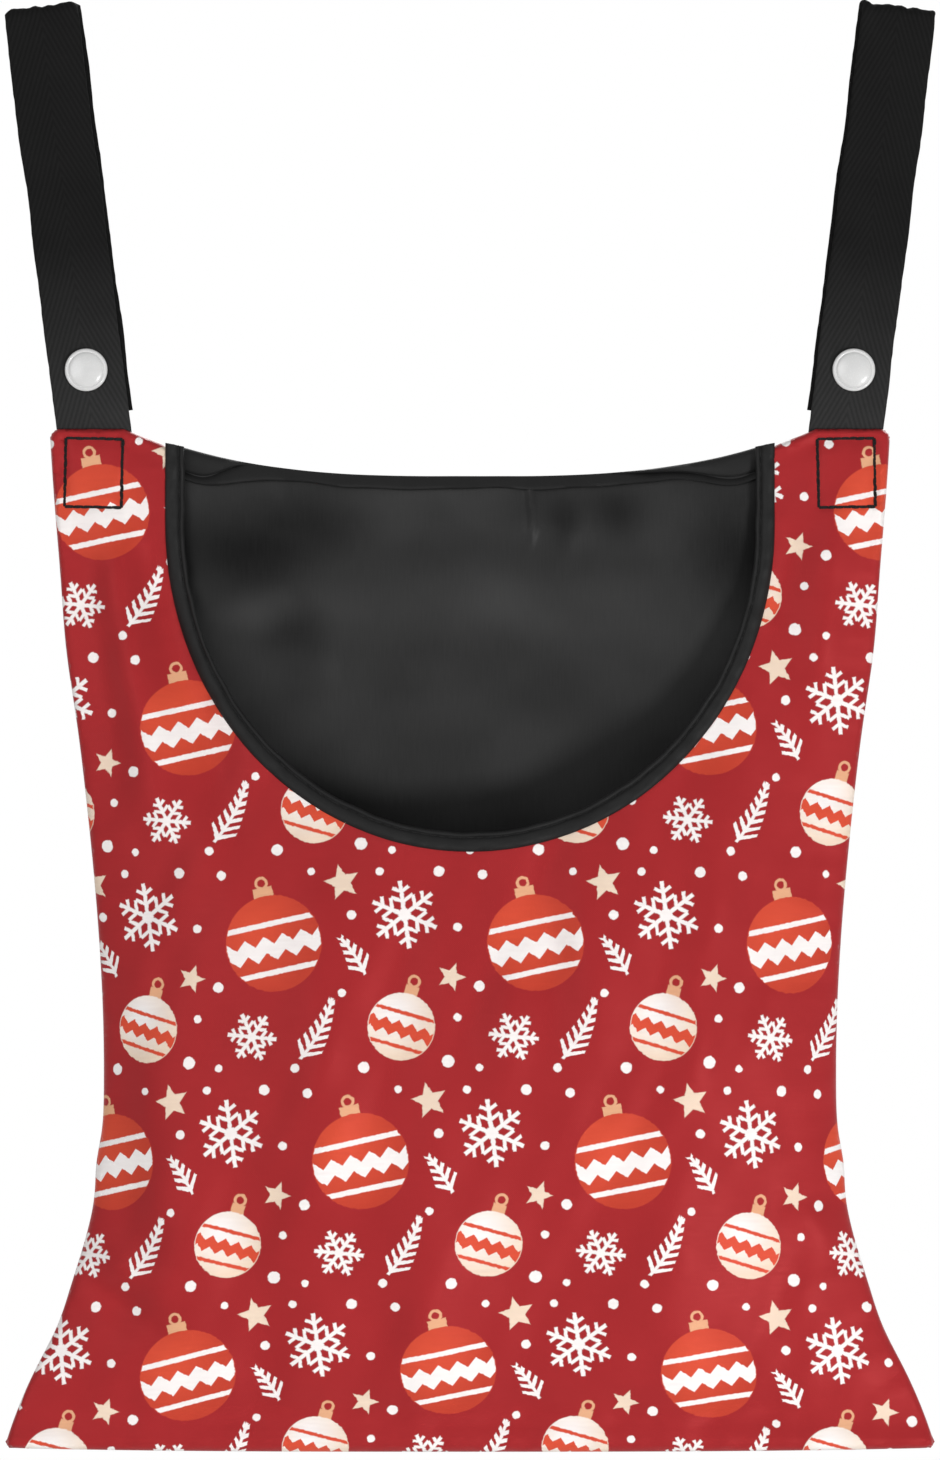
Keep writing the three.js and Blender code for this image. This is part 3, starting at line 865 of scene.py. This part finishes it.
# Soft patches of painted shade and painted sheen on the satin, darker or lighter in its colour where the
# lining's folds would lie in shade or catch the light: place on the cloth, half sizes and strength
PAINTED_SATIN_SHADE_AND_SHEEN = (
    (-78, -41, 34, 17, 0.05),
    (-54, -32, 22, 11, 0.25),
    (-56, -67, 12, 12, 0.4),
    (48, -27, 9, 11, 0.35),
    (30, -31, 6, 8, 0.45),
    (88, -40, 20, 20, 0.1),
    (-12, -24, 30, 12, 1.6),
    (4, -57, 66, 13, 1.5),
    (-68, -59, 13, 8, 1.9),
)


def black_satin():
    g = Graph("black_satin", {GLOSS: 0.08})
    u, v = g.cloth_place()
    cloth = g.vector(u, v)
    floats = g.noise(g.vector(u, v * 0.06), 0.5)
    # The satin's colour carries painted sheen and painted shade: a broad noise and the listed patches make it
    # lighter and darker in soft blotches, in place of the gloss of its folds.
    painted_sheen_and_shade = g.span(g.noise(g.vector(u * 0.7, v), 27, 1.0), 0.36, 0.64, 0.45, 0.62)
    for across, up, half_width, half_height, strength in PAINTED_SATIN_SHADE_AND_SHEEN:
        reach = g.size((u - across) / half_width, (v - up) / half_height)
        painted_sheen_and_shade = painted_sheen_and_shade * (1 + g.within(reach - 0.7, 0.7) * (strength - 1))
    colour = g.blend(painted_sheen_and_shade * 0.85 + floats * 0.15, tint("020202"), tint("3E3E3E"))
    crinkle = g.noise(g.vector(u * 0.5, v), 7, 3.0)
    normal = g.bump(crinkle, 0.6, 0.14, g.bump(g.noise(cloth, 16, 2.0), 0.8, 0.2))
    normal = g.bump(floats, 0.04, 0.4, normal)
    return g.finish(colour, g.span(floats, 0.3, 0.7, 0.4, 0.48), normal)


def black_tape():
    g = Graph("black_tape", {GLOSS: 0.12})
    u, v = g.cloth_place()
    weave = woven(g, u + v, u - v, TAPE_THREAD)
    worn = g.noise(g.vector(u, v), 6, 3.0)
    colour = g.blend(worn * 0.7 + weave * 0.3, tint("161616"), tint("242424"))
    normal = g.bump(weave, 0.06, 0.5, g.bump(worn, 0.5, 0.2))
    return g.finish(colour, g.span(worn, 0.3, 0.7, 0.48, 0.6), normal)


def black_twill():
    g = Graph("black_twill", {GLOSS: 0.05})
    u, v = g.cloth_place()
    away = abs(v - STRAP_HALF)
    ribs = striped(g, u * 0.42 + away, 1.6)
    picks = striped(g, u, 0.55)
    fuzz = g.noise(g.vector(u * 0.35, v), 0.5, 4.0)
    cloud = g.noise(g.vector(u, v), 14, 2.0)
    # The tape's colour runs lighter near its foot, where it leaves the bag, and darker further up the strap.
    lighter_towards_foot = g.span(u, TAIL_LENGTH, TAIL_LENGTH + 60, 1.0, 0.0)
    dark = g.blend(lighter_towards_foot, tint("101010"), tint("222222"))
    light = g.blend(lighter_towards_foot, tint("222222"), tint("3C3C3C"))
    colour = g.blend(ribs * 0.3 + fuzz * 0.4 + cloud * 0.3, dark, light)
    normal = g.bump(ribs * 0.6 + picks * 0.15 + fuzz * 0.25, 0.14, 0.6)
    return g.finish(colour, g.span(fuzz, 0.3, 0.7, 0.8, 0.94), normal)


def black_thread():
    g = Graph("black_thread", {GLOSS: 0.15, "Sheen Weight": 0.1})
    u, v = g.cloth_place()
    ply = striped(g, u * 1.6 + v, 0.9)
    colour = g.blend(ply, tint("070707"), tint("161616"))
    return g.finish(colour, g.span(ply, 0, 1, 0.7, 0.5), g.bump(ply, 0.12, 0.8))


def white_cap():
    g = Graph("white_cap", {GLOSS: 0.5, "Coat Weight": 0.2})
    place = g.object_place()
    cloud = g.noise(place, 5, 3.0)
    grain = g.noise(place, 0.35, 2.0)
    colour = g.blend(cloud, tint("CDCDCD"), tint("DCDCDB"))
    normal = g.bump(cloud, 0.3, 0.12, g.bump(grain, 0.02, 0.3))
    return g.finish(colour, g.span(grain, 0.3, 0.7, 0.2, 0.3), normal)


MATERIALS = {
    "red_cloth": red_cloth(),
    "black_satin": black_satin(),
    "black_tape": black_tape(),
    "black_twill": black_twill(),
    "black_thread": black_thread(),
    "white_cap": white_cap(),
}


# Panels and linings


def front_polygon(inset):
    scoop = mouth_line(RAW_EDGE, LINE_STEP)
    scoop[[0, -1], 1] -= inset
    body = both_sides(right_outline(inset, MOUTH_HALF - RAW_EDGE))
    return np.concatenate([scoop[:-1], body[:-1]])


def back_polygon(inset):
    return both_sides(right_outline(inset, 0))[:-1]


LINING_HANG = 2.6  # about how far the back lining hangs in front of its panel
FLAT_TOP = (2, 18)  # distances over which it leaves its flat edges
FLAT_SIDES = (8, 34)
LINING_ROLLS = (0.4, 70, 95, 51)  # height, width, length and seed
LINING_BEHIND = 0.3  # the furthest it may lie behind its place
MOUTH_ROOM = 9  # more room for its folds inside the mouth
ROOM_OPENS = (4, 22)  # distances in from the mouth's rim
PLEAT_RIDGE = (1.9, 0, 1.5)
PLEAT_FADES = (8, 24)  # distances along the pleat


def lining_folds(x, z):
    """The back lining hangs in front of its panel in soft folds of its own, and lies flat at its edges."""
    below = ease(*FLAT_TOP, top_edge(x) - z)
    beside = ease(*FLAT_SIDES, side_half(z) - np.abs(x))
    drape = LINING_HANG + rolls(x, z, *LINING_ROLLS) + folded(x, z, LINING_FOLDS)
    beside_pleat, along_pleat = nearest(x, z, PLEAT)
    pleat = ridge(beside_pleat, *PLEAT_RIDGE) * (1 - ease(*PLEAT_FADES, along_pleat))
    in_mouth = inside(x, z, np.concatenate([MOUTH, mirrored(MOUTH)[:1]]))
    opening = ease(*ROOM_OPENS, nearest(x, z, MOUTH)[0]) * in_mouth
    room = 0.5 * (swell(x, z, FRONT_BELLY) + swell(x, z, BACK_BELLY)) + MOUTH_ROOM * opening
    stood = room * (1 - np.exp(-np.maximum(drape, 0.1) / np.maximum(room, 0.1)))
    smoothed = BACK.creases(x, z, nearest(x, z, SEAM)[0])
    return np.minimum(-stood * below * beside - pleat - smoothed * below, LINING_BEHIND)


# Rows of points beside the pleat and the box stitches
pleat_rows = [(PLEAT, (-2.4, -1.6, -0.8, 0, 0.8, 1.6, 2.4))]
box_rows = [(stitch_box(side), (-1.6, -0.8, 0, 0.8, 1.6)) for side in HANDS.values()]
front_lined = front_polygon(LINING_INSET)
back_lined = back_polygon(LINING_INSET)
front_cloth = cloth_piece("front_cloth", FRONT, front_polygon(0), 0, -1, "red_cloth", box_rows)
back_cloth = cloth_piece("back_cloth", BACK, back_polygon(0), 0, 1, "red_cloth", box_rows)
front_satin = cloth_piece("front_satin", FRONT, front_lined, -STACK, 1, "black_satin")
back_satin = cloth_piece("back_satin", BACK, back_lined, -STACK, -1, "black_satin", pleat_rows, lining_folds)
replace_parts(front_cloth, "front_panel")
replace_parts(back_cloth, "back_panel")
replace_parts(front_satin, "front_lining")
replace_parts(back_satin, "back_lining")


# Tapes

# The folded mouth tape's section: distance in from its outer edge and height above the panel
MOUTH_SECTION = (
    (0.1, 0.05), (0.02, 0.35), (0.3, 0.72), (0.9, 1.08), (1.7, 1.36), (2.6, 1.46), (3.4, 1.32), (4.0, 0.95),
    (4.3, 0.55), (4.5, 0.42), (4.7, 0.52), (4.95, 0.9), (5.3, 1.12), (5.7, 1.0), (6.05, 0.5), (6.2, -0.4),
    (6.15, -1.3), (5.8, -2.0), (5.2, -2.3), (3.5, -2.35), (1.2, -2.3), (0.3, -2.15), (0.15, -1.8),
    (0.6, -1.62), (4.9, -1.62), (5.4, -1.2), (5.4, -0.2), (4.9, 0.16), (0.6, 0.12),
)
GROOVE_REACH = 4.5
GROOVE_HEIGHT = 0.46
TAPE_STEP = 1.5
TAPE_SWAY = (0.14, 17, 61)  # height, length and seed
TAPE_RIPPLE = (0.1, 8, 62)
RIPPLE_AT = 2.6  # how far in from the outer edge the ripples are highest
RIPPLE_SLIDE = 1.4  # how far the ripples slide along for each millimetre in
TAPE_END = 0.7  # how far the tape's ends stand up at its outer edge
TAPE_END_SLANT = 0.2


def mouth_tape():
    line = mouth_line(0, TAPE_STEP)
    side = inward(line)
    run = np.arange(len(line)) * TAPE_STEP
    sway = waver(run, *TAPE_SWAY)
    columns = []
    for reach, height in MOUTH_SECTION:
        spot = line + side * (reach + sway * (reach / TAPE_WIDTH))[:, None]
        spot[[0, -1], 1] += TAPE_END - TAPE_END_SLANT * reach
        ripple = waver(run + reach * RIPPLE_SLIDE, *TAPE_RIPPLE) * bell(reach - RIPPLE_AT, RIPPLE_AT)
        columns.append(FRONT.place(spot[:, 0], spot[:, 1], height + ripple * (height > 0.5)))
    piece = add_piece("mouth_tape", *swept(np.stack(columns, 1)), "black_tape")
    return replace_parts(piece, "mouth_binding")


# The hem tape's shown leg: share of the way down, and height from the back panel's outer face
LENS_SECTION = ((0.03, -1.6), (0.1, -2.4), (0.3, -3.1), (0.6, -3.0), (0.85, -2.7), (0.97, -2.3))
ROLLED_SECTION = (
    (0, -1.5), (0.06, -1.7), (0.2, -2.2), (0.45, -2.9), (0.7, -3.5), (0.86, -3.7), (0.96, -3.4), (1, -2.7),
)
# Its leg behind
BEHIND_SECTION = (
    (0, -0.4), (0.03, 0.1), (0.14, 0.72), (0.4, 0.95), (0.8, 0.98), (0.97, 0.8), (1, 0.2), (0.9, 0.12),
    (0.2, 0.12), (0.14, -0.4),
)
UNDER_SECTION = ((0.26, -1.3), (0.34, -1.62), (0.9, -1.62))
HEM_TAPE_SHORT = 2.2  # how far each end stays short of the mouth's width
HEM_TAPE_RISE = 1.3  # how far its fold stands above the back's top line
SHOWN_WIDTH = 4.4  # of the shown leg in the middle
SHOWN_GROWTH = 6.4  # towards its ends
SHOWN_GROWS = (62, 90)
SHOWN_WAVER = (0.35, 34, 71)  # height, length and seed
BEHIND_WAVER = (0.25, 26, 72)
ROLL_SWAY = (0.2, 19, 73)
LENS_FROM = (69, 40)  # where the lens starts, left and right of the middle
LENS_WHOLE = 88
LENS_SEAT = -1.5
CREASE_START = 0.06  # shares of the shown leg above the crease
CREASE_OPEN = 0.3
CREASE_GROWTH = 0.68


def hem_tape():
    """The tape over the back's top edge. It rolls under, and near its ends a crease sets off a flat lens."""
    end = MOUTH_HALF - HEM_TAPE_SHORT
    x = np.linspace(-end, end, 190)
    top = top_edge(x) + HEM_TAPE_RISE
    shown = SHOWN_WIDTH + SHOWN_GROWTH * ease(*SHOWN_GROWS, np.abs(x)) + waver(x, *SHOWN_WAVER)
    behind = TAPE_WIDTH + waver(x, *BEHIND_WAVER)
    sway = waver(x, *ROLL_SWAY)
    lens_from = np.where(x < 0, *LENS_FROM)
    crease = CREASE_START + CREASE_GROWTH * ease(lens_from, LENS_WHOLE, np.abs(x))
    open_lens = ease(CREASE_START, CREASE_OPEN, crease)
    rows = []
    for share, height in reversed(ROLLED_SECTION):
        rows.append(((crease + (1 - crease) * share) * shown, height + sway * share))
    for share, height in reversed(LENS_SECTION):
        rows.append((crease * share * shown, LENS_SEAT + (height - LENS_SEAT) * open_lens))
    rows += [(share * behind, height) for share, height in BEHIND_SECTION]
    rows += [(share * shown, height) for share, height in UNDER_SECTION]
    columns = [BACK.place(x, top - down, height) for down, height in rows]
    piece = add_piece("hem_tape", *swept(np.stack(columns, 1)), "black_tape")
    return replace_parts(piece, "back_hem_tape")


mouth_tape_piece = mouth_tape()
hem_tape_piece = hem_tape()


# Stitches

# One stitch's shape: share of its length, then lift and thickness in its radius
STITCH_SHAPE = (
    (0, -0.5, 0.7), (0.06, -0.1, 0.92), (0.25, 0.16, 1), (0.5, 0.24, 1.04), (0.75, 0.16, 1),
    (0.94, -0.1, 0.92), (1, -0.5, 0.7),
)
STITCH_SLIP = 0.12
BOX_ROUNDS = ((-0.22, 3.0), (0.22, 2.5))  # sideways shift and stitch length of each time round
BOX_THREAD = {"gap": 0.06, "radius": 0.3, "height": 0.1}
TAPE_STITCH = 2.5
TAPE_STITCH_THREAD = {"gap": 0.5, "radius": 0.2, "height": GROOVE_HEIGHT}


def stitch(start, end, outward, radius, seed):
    """One stitch of thread that rises out of the cloth and goes back into it."""
    along = end - start
    length = np.linalg.norm(along)
    along /= length
    across = np.cross(outward, along)
    draw = np.random.default_rng(seed)
    slip = across * draw.uniform(-STITCH_SLIP, STITCH_SLIP)
    turn = np.arange(6) * math.pi / 3
    rings = []
    for share, lift, size in STITCH_SHAPE:
        middle = start + along * length * share + outward * radius * lift + slip * math.sin(math.pi * share)
        rings.append([middle + radius * size * (across * math.cos(a) + outward * math.sin(a)) for a in turn])
    return swept(rings)


def stitched(wall, line, length, seed, gap, radius, height):
    """Stitches along a line of (x, z) places on a wall."""
    total = run_along(line)[-1]
    count = max(1, round(total / (length + gap)))
    ends = evenly(line, total / count)
    on_wall = wall.place(ends[:, 0], ends[:, 1], height)
    outward = np.array([0, wall.side, 0], float)
    share = gap / (length + gap) / 2
    made = []
    for k, (a, b) in enumerate(zip(on_wall[:-1], on_wall[1:])):
        made.append(stitch(a + (b - a) * share, b - (b - a) * share, outward, radius, seed + k))
    return made


def box_stitch(hand, side):
    """The sewn box that holds a strap's tail, gone over twice, seen on both walls."""
    corners = stitch_box(side)
    made = []
    for wall in (FRONT, BACK):
        for k in range(4):
            leg = corners[k : k + 2]
            for turn, (shift, length) in enumerate(BOX_ROUNDS):
                seed = 100 * k + 40 * turn + 7
                made += stitched(wall, leg + inward(leg) * shift, length, seed, **BOX_THREAD)
    piece = add_piece(f"{hand}_box_thread", *joined(made), "black_thread")
    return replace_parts(piece, f"{hand}_box_stitch")


def tape_stitches():
    line = mouth_line(GROOVE_REACH)[2:-2]
    made = stitched(FRONT, line, TAPE_STITCH, 900, **TAPE_STITCH_THREAD)
    return add_piece("mouth_tape_thread", *joined(made), "black_thread")


box_threads = [box_stitch(hand, side) for hand, side in HANDS.items()]
tape_thread = tape_stitches()


# Straps, drawn in a frame that leans with each strap and has the line's axis at its origin


def along_strap(drop):
    return -drop / math.cos(LEAN)


def from_strap(side, points):
    """Points in a strap's own frame, in the bag's frame."""
    points = np.asarray(points, float)
    turn = side * LEAN
    x = side * LOOP_HALF + points[..., 0] * math.cos(turn) + points[..., 2] * math.sin(turn)
    z = points[..., 2] * math.cos(turn) - points[..., 0] * math.sin(turn)
    return np.stack([x, points[..., 1], z], -1)


def strap_path():
    """The strap's middle line from tail to flap end: rows of y, z and the outward direction's y, z."""
    tail = along_strap(-SHOULDER_Z + TAIL_LENGTH)
    flap_end = along_strap(-SHOULDER_Z - FLAP_RISE)
    rows = [(-FOLD_RADIUS, z, -1, 0) for z in np.linspace(tail, 0, 76)[:-1]]
    for angle in np.linspace(math.pi, 0, 15):
        out_y = math.cos(angle)
        out_z = math.sin(angle)
        rows.append((FOLD_RADIUS * out_y, FOLD_RADIUS * out_z, out_y, out_z))
    rows += [(FOLD_RADIUS, z, 1, 0) for z in np.linspace(0, flap_end, 60)[1:]]
    return np.array(rows)


STRAP_EDGE = np.array([11.1, 11.65, 11.92, 12])  # places across the tape, closer at its edges
STRAP_COLUMNS = np.concatenate([-STRAP_EDGE[::-1], np.linspace(-10, 10, 21), STRAP_EDGE])
STRAP_SWAY = (0.22, 46)  # height and length
STRAP_BOW = (0.22, 60)
CROWN_PUCKER = (0.42, 6.5)
CROWN_NARROWS = 0.012
EDGE_ROUGH = (0.06, 5)
SELVEDGE = (0.1, 11.1, 0.7)  # a ridge along each edge
CUP = -0.18  # how far the edges curl in
CROWN = (-4, 1)  # heights between which the tape comes over the line
BEHIND = (-2, 2)  # depths between which it passes to the back
FREE_FROM = 3  # heights above the shoulders between which the tape comes free
FREE_WHOLE = 22


def strap_rings(side, seed):
    """Rings of points round the strap's tape along its path, in its own frame."""
    path = strap_path()
    run = run_along(path[:, :2])
    crown = ease(*CROWN, path[:, 1])
    behind = ease(*BEHIND, path[:, 0])
    free = ease(along_strap(-SHOULDER_Z - FREE_FROM), along_strap(-SHOULDER_Z - FREE_WHOLE), path[:, 1])
    sway = waver(run, *STRAP_SWAY, seed) * free - side * FLAP_SHIFT * behind
    bow = waver(run, *STRAP_BOW, seed + 1) * free * (1 - crown)
    across = STRAP_COLUMNS / STRAP_HALF
    edge = np.sqrt(np.maximum(0, 1 - np.abs(across) ** 22))
    half_thick = (STRAP_WALL + ridge(np.abs(STRAP_COLUMNS), *SELVEDGE)) * edge
    rings = []
    for k, (y, z, out_y, out_z) in enumerate(path):
        puckered = crown[k] * waver(STRAP_COLUMNS + run[k] * 0.4, *CROWN_PUCKER, seed + 2)
        rough = waver(run[k : k + 1] + np.sign(across) * 40, *EDGE_ROUGH, seed + 3) * np.abs(across) ** 8
        width = STRAP_COLUMNS * (1 - CROWN_NARROWS * crown[k]) + sway[k] + rough
        cup = CUP * across**2 * free[k] * (1 - crown[k])
        faces = []
        for sign in (1, -1):
            off = bow[k] + cup + puckered + sign * half_thick
            faces.append(np.stack([width, y + out_y * off, z + out_z * off], 1))
        rings.append(np.concatenate([faces[0], faces[1][::-1][1:-1]]))
    return np.array(rings), path


def strap(hand, side):
    """A strap in two pieces that meet in its front run: the sewn end and the loop with its flap."""
    rings, path = strap_rings(side, 200 + 20 * side)
    split_z = along_strap(-SHOULDER_Z - SPLIT_RISE)
    split = int(np.argmax(path[:, 1] >= split_z))
    split_run = path[split, 1] - path[0, 1]
    rings = from_strap(side, rings)
    base = add_piece(f"{hand}_strap_base", *swept(rings[: split + 1]), "black_twill")
    loop = add_piece(f"{hand}_strap_loop", *swept(rings[split:], start=split_run), "black_twill")
    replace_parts(base, f"{hand}_strap_tail")
    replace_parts(loop, f"{hand}_strap_leg", f"{hand}_strap_flap")
    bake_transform(base)
    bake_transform(loop)


for hand, side in HANDS.items():
    strap(hand, side)


# Snap fasteners, turned about an axis across the strap

ROUND_SIDES = 48
CAP_SEAT = -4.0
STUD_FACE = -2.2
STUD_FRONT = -1.3
BOSS_END = 1.1
SOCKET_FRONT = -1.0
SOCKET_FLOOR = 1.4
SOCKET_BACK = 2.2


def turned(profile, side, behind=False):
    """Rings of points about the snap's axis, from radius and depth pairs. Depth runs from front to back."""
    centre_z = along_strap(-SHOULDER_Z - SNAP_RISE)
    turn = np.arange(ROUND_SIDES) * 2 * math.pi / ROUND_SIDES
    way = -1 if behind else 1
    rings = []
    for radius, depth in profile:
        radius = max(radius, 0.02)
        x = radius * np.cos(turn) * way
        z = centre_z + radius * np.sin(turn)
        rings.append(np.stack([x, np.full_like(turn, depth * way), z], 1))
    return from_strap(side, np.array(rings))


# The cap's rolled rim: radius and how far it stands out from the cap's seat
CAP_RIM = (
    (6.3, 0), (6.72, 0.08), (6.9, 0.32), (6.9, 0.62), (6.74, 0.92), (6.45, 1.14), (6.15, 1.22), (5.9, 1.14),
    (5.72, 0.98),
)


def cap_profile(prong_end):
    """A domed cap with a rolled rim and a shallow step inside it, and its prong."""
    points = [(0, prong_end), (0.9, prong_end), (1.1, prong_end - 0.2), (1.1, CAP_SEAT)]
    points += [(radius, CAP_SEAT - out) for radius, out in CAP_RIM]
    for angle in np.linspace(0.1, math.pi / 2, 14):
        points.append((5.66 * math.cos(angle), CAP_SEAT - 0.92 - 1.4 * math.sin(angle)))
    return points


STUD_PROFILE = (
    (1.45, STUD_FACE), (4.4, STUD_FACE), (4.6, STUD_FACE + 0.2), (4.6, STUD_FRONT - 0.2), (4.4, STUD_FRONT),
    (2.75, STUD_FRONT), (2.5, STUD_FRONT + 0.2), (2.35, STUD_FRONT + 1.0), (2.5, BOSS_END - 0.8),
    (2.42, BOSS_END - 0.3), (2.1, BOSS_END), (1.45, BOSS_END),
)
SOCKET_PROFILE = (
    (1.45, SOCKET_BACK), (5.4, SOCKET_BACK), (5.6, SOCKET_BACK - 0.2), (5.6, SOCKET_FRONT + 0.4),
    (5.45, SOCKET_FRONT + 0.12), (5.2, SOCKET_FRONT), (3.2, SOCKET_FRONT), (2.9, SOCKET_FRONT + 0.2),
    (2.8, SOCKET_FLOOR), (1.45, SOCKET_FLOOR),
)


def snap(hand, side):
    made = {
        "front_cap": (turned(cap_profile(BOSS_END - 0.3), side), False, "straps"),
        "rear_cap": (turned(cap_profile(-SOCKET_FLOOR), side, True), False, f"{hand}_flap"),
        "stud": (turned(STUD_PROFILE, side), True, "straps"),
        "socket": (turned(SOCKET_PROFILE, side), True, f"{hand}_flap"),
    }
    for name, (rings, loops, body) in made.items():
        piece = add_piece(f"{hand}_{name}", *swept(rings, loops), "white_cap")
        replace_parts(piece, f"{hand}_snap_{name}")
        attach(piece, body)


for hand, side in HANDS.items():
    snap(hand, side)

cloths = [front_cloth, back_cloth, front_satin, back_satin]
sewn_on = [mouth_tape_piece, hem_tape_piece, tape_thread, *box_threads]
for piece in cloths + sewn_on:
    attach(piece, "bag")


# Stage, light and camera

FLOOR_Z = -1.25
FLOOR_HALF = 1.3
VIEW_DISTANCE = 2.2
VIEW_CENTRE = Vector((0.0, SEAM_Y * MM, -0.2309))
VIEW_HEIGHT = 0.4725
AMBIENT = 0.32


def floor():
    g = Graph("pale_floor", {GLOSS: 0.2})
    grain = g.noise(g.object_place(), 40, 3.0)
    material = g.finish(g.blend(grain, tint("E6E6E4"), tint("ECECEA")), 0.8, g.bump(grain, 0.2, 0.05))
    corners = [(x * FLOOR_HALF, y * FLOOR_HALF, FLOOR_Z) for x, y in ((-1, -1), (1, -1), (1, 1), (-1, 1))]
    mesh = bpy.data.meshes.new("floor")
    mesh.from_pydata(corners, [], [(0, 1, 2, 3)])
    mesh.materials.append(material)
    new_object("floor", mesh)


def lamp(name, place, size, power):
    """A large soft lamp that faces the bag."""
    light = bpy.data.lights.new(name, "AREA")
    light.shape = "DISK"
    light.size = size
    light.energy = power
    made = new_object(name, light)
    made.location = place
    made.rotation_euler = (VIEW_CENTRE - Vector(place)).to_track_quat("-Z", "Y").to_euler()


def world():
    """Plain white to the eye and in reflections, and an even soft light on everything."""
    made = bpy.data.worlds.new("studio")
    made.use_nodes = True
    nodes, links = made.node_tree.nodes, made.node_tree.links
    soft = nodes["Background"]
    white = nodes.new("ShaderNodeBackground")
    for light, strength in ((soft, AMBIENT), (white, 1)):
        light.inputs["Color"].default_value = (1, 1, 1, 1)
        light.inputs["Strength"].default_value = strength
    path = nodes.new("ShaderNodeLightPath")
    mixed = nodes.new("ShaderNodeMixShader")
    seen = path.outputs["Is Camera Ray"]
    for ray in ("Is Glossy Ray", "Is Transmission Ray"):
        either = nodes.new("ShaderNodeMath")
        either.operation = "MAXIMUM"
        links.new(seen, either.inputs[0])
        links.new(path.outputs[ray], either.inputs[1])
        seen = either.outputs[0]
    links.new(seen, mixed.inputs[0])
    links.new(soft.outputs[0], mixed.inputs[1])
    links.new(white.outputs[0], mixed.inputs[2])
    links.new(mixed.outputs[0], nodes["World Output"].inputs["Surface"])
    bpy.context.scene.world = made


def camera():
    data = bpy.data.cameras.new("camera")
    data.sensor_width = 36
    data.lens = data.sensor_width * VIEW_DISTANCE / VIEW_HEIGHT
    made = new_object("camera", data)
    made.location = VIEW_CENTRE - Vector((0, VIEW_DISTANCE, 0))
    made.rotation_euler = (math.pi / 2, 0, 0)
    bpy.context.scene.camera = made


floor()
lamp("key", (1.2, -1.52, -0.98), 0.6, 24.5)
lamp("fill", (-1.15, -1.7, 0.1), 1.6, 15)
lamp("rear", (0.6, 1.7, 0.8), 1.4, 26)
world()
camera()
bpy.context.scene.view_settings.view_transform = "Standard"
